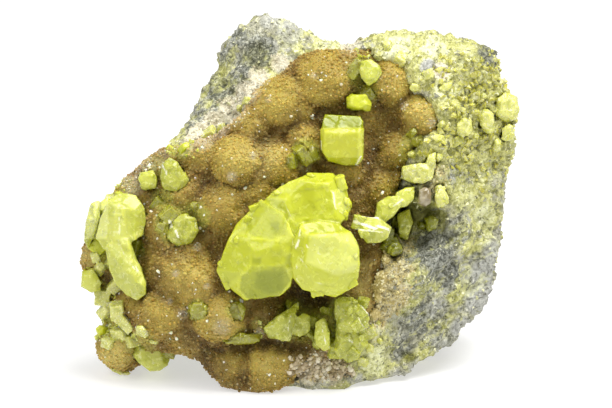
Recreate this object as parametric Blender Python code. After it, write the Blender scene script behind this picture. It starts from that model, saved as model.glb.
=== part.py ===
"""Native sulfur crystals on a brown aragonite crust, grown on a loose piece of grey limestone.

The specimen stands on a flat of its broken underside, with its crystal face leaning back.
Shapes are written in face coordinates, in millimetres: x across the face, h up it from the
ground, and out square to it, away from the rock. All of it turns upright in one step.
"""

import math

import bmesh
import bpy
from mathutils import Matrix, Vector, geometry, noise

MM = 0.001
LEAN = math.radians(15)  # how far the crystal face leans back
GAP = 0.35  # clearance between neighbouring solids
SEAT_SPARE = 0.14
BROKEN_BACK = 46  # how far behind the foot of the face the rock was broken off
FAR = 300  # longer than the specimen any way

# ---------------------------------------------------------------- the grey rock
ROCK_CENTRE = (0, 36.8)
ROCK_OUTLINE = [
    (-35.0, 39.8), (-31.0, 43.5), (-26.0, 49.0), (-23.6, 52.6), (-20.4, 57.2), (-19.2, 61.2),
    (-16.6, 65.2), (-16.6, 68.6), (-14.4, 71.2), (-11.4, 74.2), (-9.8, 75.6), (-6.8, 76.2),
    (-3.6, 75.2), (0.0, 73.6), (4.0, 70.9), (9.6, 69.9), (15.2, 71.3), (18.4, 72.4),
    (26.6, 73.0), (29.6, 71.2), (36.0, 70.4), (39.8, 68.2), (39.2, 64.8), (41.4, 60.6),
    (43.8, 57.2), (43.0, 53.6), (42.4, 45.8), (40.6, 39.8), (39.2, 26.4), (37.8, 19.4),
    (33.4, 14.6), (31.2, 11.4), (26.0, 6.6), (19.6, 4.4), (12.4, 1.6), (8.2, 0.2), (0.0, 1.4),
    (-9.0, 1.2), (-15.0, 3.8), (-17.0, 6.8), (-22.0, 9.2), (-30.0, 9.4), (-33.0, 6.4),
    (-36.6, 5.6), (-38.6, 8.4), (-40.0, 12.4), (-39.2, 18.8), (-38.6, 25.8), (-37.0, 32.8),
]
ROCK_FRONT = [  # x, h, out
    (-16, 66, -13), (-10, 69, -9), (-4, 70, -10), (-14, 60, -11), (-18, 55, -11), (2, 69, -6),
    (9.6, 67, -3), (17, 69, 4), (22, 63, 4), (26, 65, 3), (28, 57, 4), (28, 49, 4), (27, 43, 3),
    (32, 67, 0), (36, 62, -3), (38, 56, -5), (36, 50, -4), (36, 43, -5), (32, 49, 0),
    (18.5, 35, -8), (22.5, 34, -10), (26.5, 35, -10), (25, 31.5, -8), (24, 41.5, 2), (29, 41, 1),
    (18, 29, -1), (31.5, 35, -3), (33, 29, -4), (24, 26, 1), (15, 28, 1), (20, 23, 0),
    (30, 23, -5), (36, 27, -10), (36, 20, -13), (30, 15, -11), (24, 11, -9), (16, 12, -2),
    (12, 5, -3), (20, 7, -8), (9, 3, -2), (26, 18, -6), (38, 44, -8), (39, 34, -11),
    (-10, 45, -2), (-10, 25, -2), (-30, 30, -6), (-36, 25, -10), (-5, 10, -2), (5, 55, -2),
    (-20, 41, -3), (-8, 3, -4), (-35, 9, -11), (-22, 48, -3), (-10, 57, -4),
    (17, 52, -7), (22, 55.5, -4), (18, 46, -7), (17.5, 59, -5), (12, 65, -3), (19, 63, -3),
    (17, 40, -6), (8, 60, -3), (25.5, 55.5, -2), (14, 33, -3), (13, 22, -2), (10, 12, -2),
]
ROCK_RIM = [
    (42, 55, -13), (40, 35, -14), (38, 68, -12), (25, 73, -9), (10, 70, -12), (-2, 75, -19),
    (-12, 74, -21), (-18, 63, -20), (-25, 51, -10), (-36, 36, -9), (-40, 20, -12), (-37, 6, -16),
    (-25, 9, -12), (-8, 1, -4), (8, 0, -3), (22, 5, -9), (34, 15, -15),
]
ROCK_BACK = -58
FRACTURES = [  # a point on each broken face and the way it faces, in upright millimetres
    ((0, BROKEN_BACK, 0), (0, 1, 0)),
    ((0, 41, 62), (0.05, 0.75, 0.66)),
    ((39, 36, 0), (0.8, 0.6, -0.05)),
    ((-30, 37, 0), (-0.75, 0.65, 0.1)),
    ((-14, 44, 62), (-0.6, 0.5, 0.62)),
    ((30, 40, 10), (0.35, 0.6, -0.72)),
]

# ---------------------------------------------------------------- the brown crust
CRUST_CENTRE = (-10, 32.8)
CRUST_OUTLINE = [
    (-34.8, 43.2), (-28.0, 48.8), (-23.0, 49.6), (-17.4, 51.4), (-13.6, 53.8), (-10.8, 56.4),
    (-9.2, 59.6), (-6.8, 62.4), (-3.2, 63.6), (-1.2, 66.4), (1.6, 68.2), (6.0, 68.6),
    (10.0, 68.0), (14.4, 68.8), (19.4, 66.2), (22.4, 62.4), (22.2, 60.2), (27.4, 58.4),
    (28.4, 55.2), (27.6, 52.8), (22.4, 49.4), (20.2, 45.4), (19.8, 42.4), (16.4, 36.8),
    (15.2, 34.4), (17.0, 29.6), (16.4, 26.4), (14.4, 16.8), (12.0, 12.4), (9.0, 8.4),
    (3.6, 6.6), (0.0, 5.0), (-2.0, 2.4), (-5.0, 0.8), (-9.0, 0.0), (-13.0, 0.6), (-16.0, 2.0),
    (-20.2, 7.2), (-26.0, 8.4), (-30.0, 8.4), (-33.0, 5.6), (-36.2, 3.6), (-40.0, 6.8),
    (-40.8, 10.0), (-39.2, 13.8), (-38.6, 17.2), (-40.2, 20.8), (-43.0, 23.0), (-44.0, 26.4),
    (-43.2, 30.0), (-40.4, 34.0), (-38.4, 38.0),
]
CRUST_FRONT = [
    (-34, 42, -1.5), (-28, 46, 0.5), (-20, 47, 1.5), (-14, 51, 1), (-8, 58, 1), (-2, 63, 1),
    (4, 66, 1), (14, 66, 1), (20, 62, 1), (26, 56, 0.5), (22, 50, -1), (16.5, 52, -3.5),
    (16, 46, -3.5), (18, 42, -2), (13, 60, 0.5), (10, 50, 1.5), (0, 52, 1.5), (-8, 50, 2),
    (-3, 51.8, -1), (11.4, 61.8, -0.5), (19, 53.4, -3.5), (14.4, 44.8, -3), (-19, 31.8, 0),
    (-30, 25, -1), (-28, 20.8, -0.5), (2, 18.8, -3.5), (15, 57.8, -1.5), (-14, 42, 3),
    (-20, 36, 2), (-10, 35, 3), (-5, 30, 2.5), (5, 30, 2.5), (10, 38, 2), (13, 30, 2),
    (15, 22, 2), (-10, 22, 3), (-22, 20, 3), (-30, 15, 1.5), (-38, 28, -4.5), (-41, 26, -6),
    (-36, 34, -2), (-37, 20, -5), (-36, 14, -5), (-34, 9, -8), (-37, 6, -10), (-20, 12, 2.5),
    (-12, 9, -0.5), (-6, 8.5, 0), (-16, 8, -1), (-6, 5, 1.5), (-14, 4, 0.5), (0, 8, 1),
    (5, 10, 1.5), (10, 14, 2), (9, 22, 1.5), (4, 13, 0), (-27, 11, -1),
]
CRUST_RIM = [
    (-34, 44, -7), (-14, 54, -4), (0, 67, -3.5), (14, 68, -3.5), (22, 62, -3), (28, 56, -2.5),
    (20, 44, -6), (17, 32, -5), (16, 22, -3), (10, 10, -3.5), (0, 5, -3), (-9, 0, -1.5),
    (-18, 5, -3), (-26, 8.4, -6), (-33, 5, -14), (-37, 4, -14), (-41, 9, -11), (-39, 17, -9),
    (-44, 26, -10), (-40, 35, -9),
]
CRUST_DEPTH = 5  # from its rim to its buried back
LUMPS = [  # x, h, radius, top
    (5.6, 62.8, 6.6, 4), (9, 66.4, 4.5, 2.5), (18.4, 62.8, 4.6, 3), (-3, 58.2, 6.8, 4),
    (0, 64.4, 4.5, 2), (-12.4, 46.4, 5.4, 6.5), (-5, 45.8, 5, 5), (-15.6, 37.2, 6, 5.5),
    (1, 49.8, 4.5, 3.5), (-24.4, 24.4, 7, 5), (-17.6, 21.2, 6, 6), (-28, 15.2, 6, 4.5),
    (-17, 15.2, 5.4, 7), (-26.4, 33.2, 5.6, 4), (24, 55.8, 4.4, 2.5), (19.6, 48.4, 4.5, 0),
    (-7.6, 15.2, 4.5, 4), (-7, 5.2, 5, 3), (-14.4, 5.6, 4.8, 1.5), (-36.4, 8.8, 4, -3),
    (-41.2, 26.4, 3, -3), (-20, 48.4, 4.5, 3), (-24, 40.8, 4.5, 3), (14, 26.4, 3, 4),
    (-33.6, 16.4, 4, 0), (-10, 53.8, 4.5, 3.5), (15, 40.8, 5, 1), (-22, 12.8, 4.5, 4.5),
    (-2, 6.4, 4, 2.5), (-9, 40.8, 4.5, 4), (9.5, 45.5, 4, 3),
]

# ---------------------------------------------------------------- the sulfur crystals
# Each big crystal is an outline, the depth where it is widest, the depth of its root, how
# far its root narrows, and its facets as planes: x, h, out and the slopes along x and h.
BIG_CRYSTALS = {
    "upper_lobe": (
        [(-4.6, 41.0), (-2.0, 42.6), (2.4, 44.2), (6.4, 44.2), (9.2, 42.0), (10.2, 36.8),
         (8.0, 33.2), (0.0, 28.8), (-7.6, 30.8), (-9.4, 35.8), (-7.2, 38.9)],
        6.0, -1.5, 0.8,
        [(3.0, 38.0, 10.6, 0.04, -0.10), (-2.0, 41.0, 9.4, 0.45, -0.65),
         (-4.0, 36.0, 10.2, 0.42, -0.05), (8.0, 40.0, 9.2, -0.75, -0.35),
         (5.0, 43.4, 8.2, -0.05, -1.6)],
    ),
    "left_lobe": (
        [(-7.6, 39.2), (-10.0, 35.4), (-12.6, 34.0), (-14.6, 30.2), (-16.8, 24.8),
         (-15.6, 22.6), (-11.0, 18.8), (-7.6, 19.0), (-4.0, 19.6), (-1.8, 21.6), (-0.6, 26.4),
         (-1.0, 31.8), (-3.0, 36.4)],
        7.0, -1.0, 0.74,
        [(-6.0, 33.0, 12.2, 0.22, -0.28), (-5.0, 28.0, 13.2, 0.12, 0.10),
         (-12.5, 28.0, 10.8, 0.55, 0.02), (-7.0, 25.2, 12.9, -0.02, 0.85),
         (-13.5, 22.5, 8.7, 0.60, 0.75), (-2.2, 25.0, 12.8, -0.50, 0.20),
         (-11.5, 34.0, 9.6, 0.60, -0.55)],
    ),
    "right_lobe": (
        [(0.0, 34.2), (3.6, 34.9), (7.6, 34.4), (10.2, 32.4), (11.6, 29.6), (12.0, 26.4),
         (11.6, 23.4), (10.0, 21.0), (7.0, 19.4), (4.4, 20.4), (0.6, 21.0), (-1.2, 23.0),
         (-2.0, 26.4), (-1.6, 30.0)],
        10.0, 0.0, 0.68,
        [(5.0, 28.0, 16.5, 0.02, 0.0), (5.0, 32.2, 16.1, 0.0, -0.55),
         (9.6, 28.0, 15.7, -0.55, 0.0), (-0.2, 28.0, 15.3, 0.95, 0.0),
         (4.5, 23.6, 15.8, 0.0, 0.45), (9.4, 22.8, 13.9, -0.75, 0.75),
         (0.4, 23.0, 13.7, 0.75, 0.75), (9.4, 32.4, 14.1, -0.8, -0.8),
         (5.5, 21.0, 13.1, 0.0, 1.5)],
    ),
    "block": (
        [(4.8, 56.1), (12.2, 55.7), (12.8, 54.6), (12.6, 47.2), (11.4, 45.7), (8.8, 45.7),
         (5.6, 46.5), (4.2, 48.8), (4.0, 53.0)],
        3.5, -2.5, 0.85,
        [(8.0, 52.0, 7.0, 0.0, 0.12), (8.0, 52.0, 7.0, 0.0, -0.50),
         (12.2, 51.0, 6.4, -1.6, 0.0), (4.6, 51.0, 6.4, 1.6, 0.0), (9.0, 46.6, 5.6, 0.0, 1.3)],
    ),
    "left_blade_upper": (
        [(-37.8, 39.3), (-35.6, 40.2), (-32.8, 39.8), (-31.2, 37.6), (-30.6, 34.8),
         (-31.2, 32.0), (-33.6, 30.0), (-36.4, 28.4), (-39.4, 29.0), (-40.6, 31.2),
         (-39.8, 35.0)],
        -0.5, -7.0, 0.8,
        [(-35.0, 34.5, 3.4, 0.10, 0.0), (-38.6, 34.0, 2.0, 0.75, 0.0),
         (-35.0, 38.2, 2.6, 0.0, -0.7), (-31.8, 35.0, 2.6, -0.9, 0.0)],
    ),
    "left_blade_lower": (
        [(-39.0, 29.4), (-36.4, 31.4), (-33.8, 31.0), (-33.0, 27.8), (-31.6, 25.0),
         (-30.7, 22.4), (-30.7, 20.0), (-32.4, 18.7), (-34.8, 19.6), (-36.8, 21.8),
         (-38.0, 24.6)],
        0.5, -6.5, 0.8,
        [(-34.0, 25.0, 4.6, 0.28, -0.12), (-35.8, 24.0, 3.2, 0.85, 0.35),
         (-32.2, 24.0, 4.5, -0.6, -0.3), (-33.0, 20.6, 3.6, 0.1, 0.9)],
    ),
    "prism": (
        [(11.2, 34.7), (12.4, 35.3), (15.6, 35.3), (18.4, 33.4), (17.5, 31.2), (16.0, 30.3),
         (13.4, 30.3), (12.5, 31.2)],
        5.0, -1.5, 0.8,
        [(14.5, 34.4, 7.6, 0.02, -0.9), (14.5, 33.2, 8.6, 0.02, -0.1),
         (14.5, 32.4, 8.5, 0.02, 1.0), (17.6, 33.0, 7.6, -1.4, 0.2),
         (12.0, 33.0, 7.6, 1.4, 0.1)],
    ),
}

# Each small crystal is an outline, its widest depth, its root, its top, the tilt of its main
# facet along x and h, and the direction of the first of its five corner facets in degrees.
SMALL_CRYSTALS = {
    "top_rounded": (
        [(12.0, 66.4), (14.2, 66.8), (16.0, 65.6), (16.4, 64.0), (15.2, 62.3), (13.6, 61.6),
         (12.4, 62.8), (11.8, 64.6)],
        2.0, -2.5, 4.0, -0.05, -0.10, 60),
    "top_flat": (
        [(9.4, 59.2), (10.6, 59.9), (13.2, 59.8), (14.5, 58.2), (14.0, 56.6), (10.2, 56.6),
         (9.3, 57.6)],
        1.5, -2.5, 3.6, 0.0, -0.25, 20),
    "shoulder_long": (
        [(-27.4, 46.0), (-26.0, 47.3), (-24.4, 46.3), (-22.0, 42.8), (-22.8, 41.3),
         (-24.8, 40.4), (-27.0, 40.9), (-27.9, 43.2)],
        1.5, -3.0, 3.8, -0.05, 0.05, 30),
    "shoulder_short": (
        [(-32.0, 44.3), (-29.4, 44.7), (-28.6, 43.0), (-28.8, 41.0), (-31.4, 41.0),
         (-32.4, 42.8)],
        -1.0, -5.0, 1.5, 0.10, 0.0, 10),
    "left_edge_upper": (
        [(-41.8, 38.0), (-40.2, 38.6), (-40.3, 35.4), (-41.4, 31.2), (-42.4, 29.0),
         (-43.3, 30.6), (-42.6, 34.6)],
        -3.5, -9.0, -0.8, 0.10, 0.05, 0),
    "left_edge_lower": (
        [(-43.6, 24.6), (-41.6, 25.0), (-39.8, 22.4), (-40.0, 20.6), (-42.0, 20.3),
         (-43.8, 21.6)],
        -5.0, -10.0, -3.0, 0.10, 0.1, 40),
    "foot": (
        [(-33.6, 10.0), (-32.0, 11.4), (-30.0, 9.8), (-26.0, 7.4), (-26.6, 5.6),
         (-28.2, 4.5), (-30.2, 4.4), (-32.4, 6.0), (-33.6, 7.6)],
        -10.0, -17.0, -5.5, -0.10, 0.1, 80),
    "embedded_large": (
        [(-22.2, 17.8), (-20.0, 18.6), (-17.8, 17.8), (-17.6, 15.6), (-20.0, 14.8),
         (-22.0, 15.4)],
        5.5, 1.0, 7.0, 0.1, 0.0, 15),
    "embedded_small": (
        [(-14.2, 18.4), (-12.0, 18.6), (-10.8, 17.2), (-11.4, 15.0), (-13.4, 14.4),
         (-14.8, 16.4)],
        5.0, 0.5, 6.4, -0.1, 0.0, 45),
    "left_hollow": (
        [(-26.0, 34.4), (-23.6, 36.2), (-20.8, 35.2), (-20.0, 32.8), (-21.6, 30.2),
         (-24.4, 29.6), (-26.6, 31.2)],
        3.0, -1.0, 4.8, 0.0, 0.0, 30),
    "ledge_right": (
        [(15.4, 38.2), (17.6, 39.6), (19.8, 39.6), (20.0, 37.4), (18.6, 35.6), (16.8, 34.2),
         (15.0, 35.2)],
        3.0, -3.0, 6.5, -0.05, -0.1, 50),
    "ledge_end": (
        [(19.2, 40.2), (21.2, 41.3), (22.9, 41.5), (22.8, 39.0), (21.4, 37.6), (19.0, 37.2)],
        2.5, -3.5, 5.5, -0.1, -0.2, 20),
    "ridged_low": (
        [(20.4, 45.4), (22.4, 45.9), (26.0, 46.2), (26.9, 45.2), (26.4, 43.0), (24.8, 42.2),
         (22.8, 42.2), (20.8, 43.0)],
        2.5, -3.0, 5.0, 0.02, 0.05, 0),
    "ridged_high": (
        [(25.0, 45.2), (25.6, 47.8), (27.1, 48.3), (27.1, 45.2)],
        2.5, -3.0, 4.6, 0.0, 0.0, 45),
    "calcite": (
        [(23.7, 40.8), (24.8, 41.4), (26.1, 41.0), (26.1, 38.2), (25.0, 37.5), (23.6, 38.2)],
        3.0, -2.0, 5.5, 0.0, 0.0, 30),
    "ledge_corner": (
        [(27.2, 41.6), (28.2, 42.0), (29.2, 40.4), (29.6, 38.2), (28.2, 37.2), (27.0, 37.8),
         (26.9, 39.6)],
        2.0, -3.5, 4.5, -0.1, 0.0, 70),
    "vug_tall": (
        [(19.6, 36.0), (22.0, 37.0), (22.6, 34.4), (21.4, 30.8), (20.0, 31.4), (19.6, 33.8)],
        -4.5, -12.0, -1.0, -0.1, 0.1, 30),
    "vug_low": (
        [(17.6, 29.6), (18.8, 30.4), (20.2, 29.8), (20.4, 28.4), (18.8, 27.6), (17.4, 28.2)],
        -1.0, -5.0, 1.2, 0.0, -0.1, 10),
    "vug_right": (
        [(25.0, 35.0), (26.4, 35.8), (27.8, 34.8), (27.4, 33.0), (25.8, 32.6)],
        -6.0, -11.0, -3.5, 0.1, 0.0, 60),
    "lower_fin": (
        [(-7.4, 13.2), (-4.8, 15.4), (-0.2, 18.6), (-0.6, 16.0), (-2.0, 10.6), (-4.0, 11.0),
         (-6.2, 11.4)],
        3.5, -2.0, 6.5, 0.1, 0.1, 75),
    "lower_middle": (
        [(-1.6, 14.8), (0.6, 16.2), (2.2, 15.6), (2.1, 12.8), (0.0, 11.4), (-1.8, 12.2)],
        2.5, -3.5, 5.2, -0.1, 0.0, 15),
    "lower_rod": (
        [(3.2, 14.4), (4.8, 15.1), (5.8, 12.8), (6.1, 9.4), (4.8, 8.8), (3.2, 9.8),
         (2.9, 12.2)],
        3.0, -2.0, 6.0, 0.0, 0.0, 0),
    "ledge_green": (
        [(-16.0, 10.6), (-14.4, 11.8), (-11.0, 12.1), (-8.0, 11.8), (-8.0, 10.4), (-12.0, 10.0)],
        3.0, -2.0, 5.2, 0.0, 0.2, 90),
    "lower_mass_upper": (
        [(7.2, 18.8), (8.4, 19.6), (10.6, 19.2), (12.4, 17.4), (14.0, 15.2), (13.0, 12.8),
         (10.0, 11.6), (7.6, 12.8), (6.8, 15.8)],
        2.5, -3.5, 6.2, 0.05, -0.1, 35),
    "lower_mass_lower": (
        [(7.2, 13.2), (10.4, 13.8), (13.2, 12.8), (13.6, 10.0), (11.6, 7.4), (9.4, 6.4),
         (7.2, 8.0), (6.8, 10.8)],
        1.0, -5.0, 4.8, 0.0, 0.15, 20),
    "rim_outer": (
        [(39.6, 59.2), (41.4, 60.2), (43.4, 59.2), (44.0, 57.2), (43.4, 55.2), (41.2, 54.7),
         (39.4, 55.6)],
        -9.0, -15.0, -5.5, -0.1, 0.0, 40),
    "rim_bright": (
        [(36.0, 55.6), (37.4, 57.1), (38.6, 56.4), (39.0, 54.4), (38.6, 52.2), (37.2, 52.3),
         (36.1, 53.6)],
        -5.0, -9.5, -3.0, -0.05, 0.0, 30),
    "rim_inner": (
        [(31.6, 54.0), (33.0, 55.3), (34.4, 54.6), (34.3, 52.6), (32.6, 51.1), (31.3, 52.2)],
        -0.5, -4.5, 1.6, 0.0, 0.0, 55),
    "rim_low": (
        [(40.4, 53.2), (42.0, 54.0), (43.3, 53.0), (42.6, 51.0), (40.6, 51.0)],
        -8.5, -13.0, -5.2, -0.1, 0.0, 15),
}
CORNER_FACETS = 5
CORNER_STEEPNESS = 0.9
CORNER_INSET = 0.6  # where a corner facet starts, as a share of the crystal's half width
SMALL_ROOT = 0.8  # how far the root of a small crystal narrows

# Crystals that grew into each other are one solid.
CRYSTAL_NODES = {
    "main_crystal_cluster": ["left_lobe", "upper_lobe", "right_lobe"],
    "block_crystal": ["block"],
    "left_blade_crystals": ["left_blade_lower", "left_blade_upper"],
    "ledge_crystals": ["prism", "ledge_right", "ledge_end"],
    "top_rounded_crystal": ["top_rounded"],
    "top_flat_crystal": ["top_flat"],
    "shoulder_long_crystal": ["shoulder_long"],
    "shoulder_short_crystal": ["shoulder_short"],
    "left_edge_upper_crystal": ["left_edge_upper"],
    "left_edge_lower_crystal": ["left_edge_lower"],
    "foot_crystal": ["foot"],
    "embedded_large_crystal": ["embedded_large"],
    "embedded_small_crystal": ["embedded_small"],
    "left_hollow_crystal": ["left_hollow"],
    "ridged_crystals": ["ridged_low", "ridged_high"],
    "calcite_tablet": ["calcite"],
    "ledge_corner_crystal": ["ledge_corner"],
    "vug_tall_crystal": ["vug_tall"],
    "vug_low_crystal": ["vug_low"],
    "vug_right_crystal": ["vug_right"],
    "lower_fin_crystals": ["lower_fin", "lower_middle"],
    "lower_rod_crystal": ["lower_rod"],
    "ledge_green_crystal": ["ledge_green"],
    "lower_mass_crystals": ["lower_mass_upper", "lower_mass_lower"],
    "rim_outer_crystal": ["rim_outer"],
    "rim_bright_crystal": ["rim_bright"],
    "rim_inner_crystal": ["rim_inner"],
    "rim_low_crystal": ["rim_low"],
}

UPRIGHT = (
    Matrix.Scale(MM, 4)
    @ Matrix((
        (1, 0, 0, 0),
        (0, math.sin(LEAN), -math.cos(LEAN), 0),
        (0, math.cos(LEAN), math.sin(LEAN), 0),
        (0, 0, 0, 1),
    ))
)


# ---------------------------------------------------------------- meshes and objects
def clear_scene():
    for obj in list(bpy.data.objects):
        bpy.data.objects.remove(obj)


def make_material(name, colour, roughness):
    material = bpy.data.materials.new(name)
    material.use_nodes = True
    shader = material.node_tree.nodes["Principled BSDF"]
    shader.inputs["Base Color"].default_value = (*colour, 1)
    shader.inputs["Roughness"].default_value = roughness
    shader.inputs["Metallic"].default_value = 0
    return material


def make_object(name, bm, material=None):
    """An object of this mesh, triangulated. One with no material is a cutter."""
    bmesh.ops.triangulate(bm, faces=bm.faces)
    bmesh.ops.recalc_face_normals(bm, faces=bm.faces)
    mesh = bpy.data.meshes.new(name)
    bm.to_mesh(mesh)
    bm.free()
    obj = bpy.data.objects.new(name, mesh)
    bpy.context.scene.collection.objects.link(obj)
    if material:
        mesh.materials.append(material)
    else:
        obj.hide_render = True
        obj.display_type = "WIRE"
    return obj


def apply_modifiers(obj):
    graph = bpy.context.evaluated_depsgraph_get()
    baked = bpy.data.meshes.new_from_object(obj.evaluated_get(graph))
    obj.modifiers.clear()
    obj.data = baked


def combine(obj, other, operation):
    """Joins another solid to this one, or cuts it away, and drops the other."""
    boolean = obj.modifiers.new(operation.lower(), "BOOLEAN")
    boolean.operation = operation
    boolean.solver = "EXACT"
    boolean.use_self = True
    boolean.object = other
    apply_modifiers(obj)
    bpy.data.objects.remove(other)


def cut_flat(bm, point, facing):
    """Cuts a closed mesh off along a plane and closes it there."""
    everything = bm.verts[:] + bm.edges[:] + bm.faces[:]
    bmesh.ops.bisect_plane(
        bm, geom=everything, plane_co=point, plane_no=facing, clear_outer=True, dist=1e-6
    )
    bmesh.ops.holes_fill(bm, edges=[edge for edge in bm.edges if edge.is_boundary])


def keep_largest_piece(obj):
    """Drops the loose splinters that the cuts left, also those that touch at a corner."""
    bm = bmesh.new()
    bm.from_mesh(obj.data)
    left = set(bm.faces)
    pieces = []
    while left:
        piece = [left.pop()]
        for face in piece:
            edges = [edge for edge in face.edges if len(edge.link_faces) == 2]
            found = {near for edge in edges for near in edge.link_faces} & left
            left -= found
            piece.extend(found)
        pieces.append(piece)
    pieces.sort(key=len)
    for piece in pieces[:-1]:
        bmesh.ops.delete(bm, geom=piece, context="FACES")
    bm.to_mesh(obj.data)
    bm.free()


# ---------------------------------------------------------------- rock and crust
def surface(anchors, softness=0.5, falloff=1.7):
    """A depth that passes through the anchors and runs smoothly between them."""
    def depth(x, h):
        total = weights = 0
        for anchor_x, anchor_h, out in anchors:
            weight = ((x - anchor_x) ** 2 + (h - anchor_h) ** 2 + softness) ** -falloff
            total += weight * out
            weights += weight
        return total / weights
    return depth


def lumpy(base, lumps):
    """The base depth, with the balls of the lumps standing out of it."""
    def depth(x, h):
        highest = base(x, h)
        for lump_x, lump_h, radius, top in lumps:
            away = math.hypot(x - lump_x, h - lump_h)
            if away < radius:
                highest = max(highest, top - radius + math.sqrt(radius**2 - away**2))
        return highest
    return depth


def reach(outline, centre, way):
    """How far the outline is from the centre along a unit direction."""
    far = centre + way * FAR
    hits = [
        geometry.intersect_line_line_2d(centre, far, Vector(start), Vector(end))
        for start, end in zip(outline, outline[1:] + outline[:1])
    ]
    return max((hit - centre).length for hit in hits if hit)


def boulder(centre, outline, front, rim, back, squareness):
    """A closed mesh that fills the outline, from the front depth round its rim to the back."""
    bm = bmesh.new()
    bmesh.ops.create_icosphere(bm, subdivisions=6, radius=1)
    centre = Vector(centre)
    for vert in bm.verts:
        side = Vector((vert.co.x, vert.co.y))
        spread = min(side.length, 1) ** (2 / squareness)
        thickness = abs(vert.co.z) ** (2 / squareness)
        place = centre.copy()
        if side.length > 1e-9:
            way = side.normalized()
            place += way * spread * reach(outline, centre, way)
        middle = rim(*place)
        end = front(*place) if vert.co.z > 0 else back(*place)
        vert.co = (*place, middle + thickness * (end - middle))
    return bm


def roughen(bm, grain, depth, back=1.0):
    """Weathers a surface with hills and hollows about as wide as the grain."""
    bm.normal_update()
    moves = []
    for vert in bm.verts:
        share = 1.0 if vert.normal.y < 0.3 else back
        moves.append(vert.normal * noise.fractal(vert.co / grain, 0.9, 2.1, 3) * depth * share)
    for vert, move in zip(bm.verts, moves):
        vert.co += move


def break_off(bm, point, facing):
    """Presses all that stands past a plane back onto it."""
    point = Vector(point)
    facing = Vector(facing).normalized()
    for vert in bm.verts:
        past = (vert.co - point).dot(facing)
        if past > 0:
            vert.co -= facing * past


def simplify(obj, voxel, triangles):
    """Makes one clean skin of a mesh that may fold over itself, then thins it out."""
    remesh = obj.modifiers.new("skin", "REMESH")
    remesh.mode = "VOXEL"
    remesh.voxel_size = voxel
    apply_modifiers(obj)
    decimate = obj.modifiers.new("simplify", "DECIMATE")
    decimate.ratio = triangles / (2 * len(obj.data.polygons))
    decimate.use_collapse_triangulate = True
    apply_modifiers(obj)


def stand_on_ground(obj):
    bm = bmesh.new()
    bm.from_mesh(obj.data)
    cut_flat(bm, (0, 0, 0), (0, 0, -1))
    bmesh.ops.triangulate(bm, faces=bm.faces)
    bm.to_mesh(obj.data)
    bm.free()


def make_rock(material, triangles=2350):
    bm = boulder(
        ROCK_CENTRE, ROCK_OUTLINE, surface(ROCK_FRONT), surface(ROCK_RIM),
        lambda x, h: ROCK_BACK, squareness=4,
    )
    bm.transform(UPRIGHT)
    for point, facing in FRACTURES:
        break_off(bm, Vector(point) * MM, facing)
    roughen(bm, grain=9 * MM, depth=1.3 * MM)
    roughen(bm, grain=3.5 * MM, depth=0.5 * MM)
    rock = make_object("matrix_rock", bm, material)
    simplify(rock, 0.8 * MM, triangles)
    stand_on_ground(rock)
    return rock


def make_crust(material, triangles=2600):
    rim = surface(CRUST_RIM)
    bm = boulder(
        CRUST_CENTRE, CRUST_OUTLINE, lumpy(surface(CRUST_FRONT), LUMPS), rim,
        lambda x, h: rim(x, h) - CRUST_DEPTH, squareness=4,
    )
    bm.transform(UPRIGHT)
    roughen(bm, grain=2.6 * MM, depth=0.4 * MM, back=0.0)
    crust = make_object("druse_crust", bm, material)
    simplify(crust, 0.6 * MM, triangles)
    stand_on_ground(crust)
    return crust


# ---------------------------------------------------------------- crystals
def middle_of(outline):
    return sum((Vector(point) for point in outline), Vector((0, 0))) / len(outline)


def grow_crystal(outline, widest, root, narrow, facets, spare=6, taper=0.94):
    """A convex crystal in face coordinates, cut by its facets from a taller, tapering block."""
    centre = middle_of(outline)
    height = max(facet[2] for facet in facets) + spare
    bm = bmesh.new()
    for out, share in ((root, narrow), (widest, 1.0), (height, taper)):
        for point in outline:
            place = centre + (Vector(point) - centre) * share
            bm.verts.new((*place, out))
    hull = bmesh.ops.convex_hull(bm, input=bm.verts)
    inside = set(hull["geom_interior"]) | set(hull["geom_unused"])
    bmesh.ops.delete(bm, geom=[v for v in inside if isinstance(v, bmesh.types.BMVert)])
    for x, h, out, slope_x, slope_h in facets:
        cut_flat(bm, (x, h, out), (-slope_x, -slope_h, 1))
    bmesh.ops.dissolve_limit(
        bm, angle_limit=math.radians(1), verts=bm.verts, edges=bm.edges
    )
    return bm


def corner_facets(outline, top, tilt_x, tilt_h, turn):
    """The main facet of a small crystal, and the sloping ones round it."""
    centre = middle_of(outline)
    facets = [(*centre, top, tilt_x, tilt_h)]
    for number in range(CORNER_FACETS):
        angle = math.radians(turn) + number * math.tau / CORNER_FACETS
        way = Vector((math.cos(angle), math.sin(angle)))
        start = centre + way * CORNER_INSET * reach(outline, centre, way)
        facets.append((*start, top, *(way * -CORNER_STEEPNESS)))
    return facets


def crystal_mesh(name):
    if name in BIG_CRYSTALS:
        return grow_crystal(*BIG_CRYSTALS[name])
    outline, widest, root, top, tilt_x, tilt_h, turn = SMALL_CRYSTALS[name]
    facets = corner_facets(outline, top, tilt_x, tilt_h, turn)
    return grow_crystal(outline, widest, root, SMALL_ROOT, facets)


def pocket_mesh(name):
    """The crystal with every facet moved out by the gap."""
    crystal = crystal_mesh(name)
    crystal.normal_update()
    bm = bmesh.new()
    bmesh.ops.create_cube(bm, size=2 * FAR)
    for face in crystal.faces:
        facing = face.normal.copy()
        cut_flat(bm, face.verts[0].co + facing * GAP, facing)
    crystal.free()
    return bm


def make_crystals(node, names, material):
    solids = []
    for name in names:
        bm = crystal_mesh(name)
        bm.transform(UPRIGHT)
        solids.append(make_object(node if not solids else name, bm, material))
    for other in solids[1:]:
        combine(solids[0], other, "UNION")
    return solids[0]


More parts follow.
